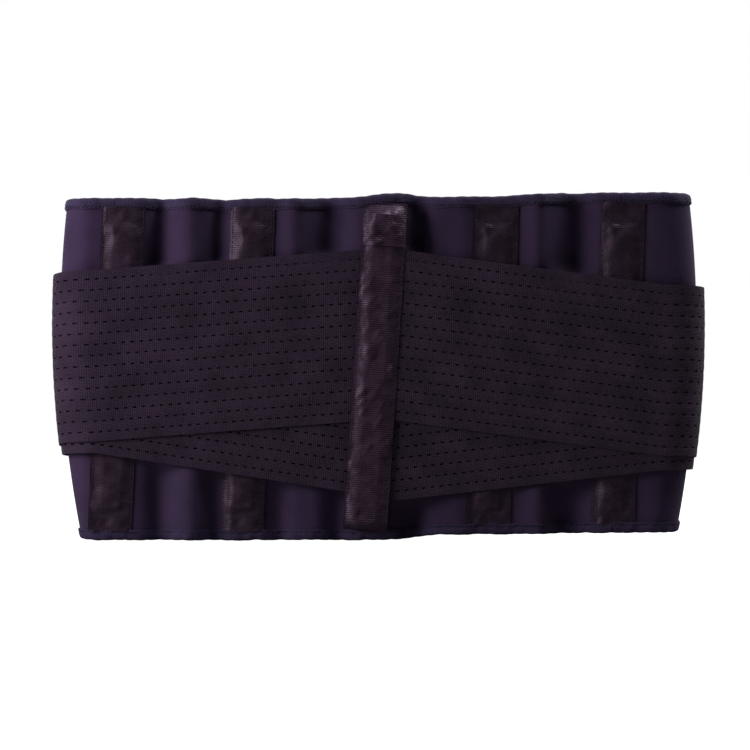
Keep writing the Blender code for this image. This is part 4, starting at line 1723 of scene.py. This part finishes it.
@dataclass(frozen=True)
class Lamp:
    """A square area lamp at a place, turned to a point."""

    name: str
    place: tuple[float, float, float]
    aim: tuple[float, float, float]
    size: float
    power: float
    colour: str

    def build(self) -> None:
        """Adds the lamp to the scene."""
        data = bpy.data.lights.new(self.name, "AREA")
        data.size, data.energy, data.color = self.size, self.power, linear(self.colour)[:3]
        lamp = bpy.data.objects.new(self.name, data)
        lamp.location = self.place
        way = np.array(self.aim) - np.array(self.place)
        level = math.hypot(way[0], way[1])
        lamp.rotation_euler = (math.atan2(level, -way[2]), 0, math.atan2(way[1], way[0]) - math.pi / 2)
        bpy.context.scene.collection.objects.link(lamp)


LAMPS = (
    Lamp("key", (-1.8, -0.72, 0.62), (0.0, -0.04, 0.12), 1.0, 26.0, "f8f3ff"),
    Lamp("near_left", (-0.5, -0.25, 0.33), (-0.2, -0.04, 0.13), 0.2, 1.5, "efe6ff"),
    Lamp("overhead", (0.45, -0.04, 1.1), (0.1, -0.04, 0.24), 0.5, 13.0, "f4f0ff"),
    Lamp("front_left", (-1.0, 1.3, 0.9), (0.0, 0.05, 0.1), 1.0, 18.0, "ffffff"),
    Lamp("front_right", (1.3, 0.9, 0.8), (0.0, 0.05, 0.1), 1.0, 18.0, "ffffff"),
)


@dataclass(frozen=True)
class Studio:
    """A pale floor, a white surround, soft light from the wearer's left, and the camera behind the wearer."""

    frame_width: float = 518.7 * MM
    distance: float = 2.0
    centre_x: float = -2.4 * MM
    centre_z: float = 114.8 * MM

    def camera(self, belt: Belt) -> None:
        """A long lens that takes in the frame's width at the flat back.

        Args:
            belt: the belt to look at.
        """
        data = bpy.data.cameras.new("camera")
        data.sensor_width = 36.0
        data.lens = data.sensor_width * self.distance / self.frame_width
        camera = bpy.data.objects.new("camera", data)
        camera.location = (self.centre_x, -belt.centre_y - self.distance, self.centre_z)
        camera.rotation_euler = (math.pi / 2, 0, 0)
        bpy.context.scene.collection.objects.link(camera)
        bpy.context.scene.camera = camera

    def surround(self) -> None:
        """White behind everything, and a dimmer even light from all round."""
        world = bpy.data.worlds.new("surround")
        bpy.context.scene.world = world
        world.use_nodes = True
        tree = world.node_tree
        tree.nodes.clear()
        glow = add_node(tree, "ShaderNodeBackground", {"Color": linear("f4f2ff"), "Strength": 0.018})
        white = add_node(tree, "ShaderNodeBackground", {"Color": (1, 1, 1, 1), "Strength": 1.0})
        seen = add_node(tree, "ShaderNodeLightPath").outputs["Is Camera Ray"]
        both = add_node(tree, "ShaderNodeMixShader", {0: seen, 1: glow.outputs[0], 2: white.outputs[0]})
        add_node(tree, "ShaderNodeOutputWorld", {"Surface": both.outputs[0]})

    def floor(self) -> None:
        """A pale, faintly glowing floor, so that it stays as light as the surround."""
        half = 6.0
        points = np.array([(-half, -half, 0), (half, -half, 0), (half, half, 0), (-half, half, 0)], float)
        mesh = bpy.data.meshes.new("floor")
        mesh.from_pydata(points.tolist(), [], [(0, 1, 2, 3)])
        material = bpy.data.materials.new("pale_floor")
        material.use_nodes = True
        tree = material.node_tree
        shader = tree.nodes["Principled BSDF"]
        shader.inputs["Base Color"].default_value = (0.25, 0.25, 0.25, 1)
        shader.inputs["Roughness"].default_value = 0.9
        shader.inputs["Emission Color"].default_value = (1, 1, 1, 1)
        seen = add_node(tree, "ShaderNodeLightPath").outputs["Is Camera Ray"]
        tree.links.new(seen, shader.inputs["Emission Strength"])
        mesh.materials.append(material)
        floor = bpy.data.objects.new("floor", mesh)
        bpy.context.scene.collection.objects.link(floor)

    def build(self, belt: Belt) -> None:
        """Sets up everything that isn't part of the object.

        Args:
            belt: the belt to look at.
        """
        bpy.context.scene.view_settings.view_transform = "Standard"
        self.camera(belt)
        self.surround()
        self.floor()
        for lamp in LAMPS:
            lamp.build()


# ---------------------------------------------------------------- whole belt


def build_side(belt: Belt, strip: PaddedStrip, side: Side) -> None:
    """Makes one side of the padded strip: back half, then side and front with its own kind of end.

    Args:
        belt: the plan line.
        strip: the maker of knit, lining and hems.
        side: which side of the back seam.
    """
    word, left = side.word, side is Side.LEFT
    # The back is cut just past the outer tape's middle, so that the tape hides the cut at every height.
    cut = abs(strip.relief.tapes[0 if left else -1].place) + 5 * MM
    back = Stretch("back", 0.0, cut, ("back",))
    for stretch in (back, Stretch("turn", cut, belt.mid_side, ("back", f"{word}_side"))):
        # The frame's back nodes span both sides, and the left half's pieces stand for them.
        named = left and stretch is back
        strip.cloth(side, stretch, ["back_shell"] if named else [])
        strip.lining(side, stretch, ["back_lining"] if named else [])
        for upper, hem in ((True, "top"), (False, "bottom")):
            path = strip.edge_path(side, stretch, upper, None)
            strip.binding(hem, side, stretch, path, [f"back_{hem}_binding"] if named else [])
    bodies = (f"{word}_side", f"{word}_front")
    shells, linings = ([f"{body}_{kind}" for body in bodies] for kind in ("shell", "lining"))
    if left:
        front = Stretch("front", belt.mid_side, belt.tab_start, bodies)
        strip.cloth(side, front, shells)
        strip.lining(side, front, linings)
        for upper, hem in ((True, "top"), (False, "bottom")):
            path = strip.edge_path(side, front, upper, None)
            strip.binding(hem, side, front, path, [f"{body}_{hem}_binding" for body in bodies])
        end = RoundEnd(belt.tab_end, belt.tab_corner)
        tab = Stretch("tab", belt.tab_start, end.end, (f"{word}_front", "closure_tab"))
        strip.cloth(side, tab, ["closure_tab_shell"], end)
        strip.binding("edge", side, tab, strip.edge_path(side, tab, None, end), ["closure_tab_binding"])
    else:
        end = RoundEnd(belt.front - belt.right_short, belt.right_corner)
        front = Stretch("front", belt.mid_side, end.end, bodies)
        strip.cloth(side, front, shells, end)
        strip.lining(side, front, linings, end)
        bindings = [f"{word}_side_top_binding", f"{word}_side_bottom_binding", f"{word}_front_binding"]
        strip.binding("edge", side, front, strip.edge_path(side, front, None, end), bindings)


def strap_stretches(belt: Belt, side: Side, end: float, pitch: float) -> tuple[Stretch, ...]:
    """The three stretches of a pull strap, cut at whole pitches of its perforations.

    Args:
        belt: the plan line.
        side: the strap's side.
        end: distance along the plan line to the strap's end, inside its pull pad.
        pitch: pitch of the perforations along the strap.

    Returns:
        The stretches, from the seam to the pad.
    """
    word = side.word
    mid = round(belt.mid_side / pitch) * pitch
    turn = round((belt.fold_end + 1 * MM) / pitch) * pitch
    return (
        Stretch("round_back", 0.0, mid, ("back", f"{word}_side")),
        Stretch("round_side", mid, turn, (f"{word}_side", f"{word}_front")),
        Stretch("to_pad", turn, end, (f"{word}_front", f"{word}_pull")),
    )


def main() -> None:
    """Builds the belt round the frame."""
    logging.basicConfig(level=logging.INFO, format="%(name)s %(message)s")
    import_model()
    belt = Belt.from_frame()
    straps = strap_lines(belt)
    relief = Relief(belt, straps, channel_lines(belt))
    Studio().build(belt)
    strip = PaddedStrip(belt, relief)
    for side in Side:
        build_side(belt, strip, side)
        PullPad(belt, side).build()
    Tapes(belt, relief).build()
    for (side, _), line in straps.items():
        strap = PullStrap(belt, relief, line)
        strap.build(strap_stretches(belt, side, line.pad_start + line.pad_tuck, strap.pitch))
    Closure(belt).build()


if __name__ == "__main__":
    main()
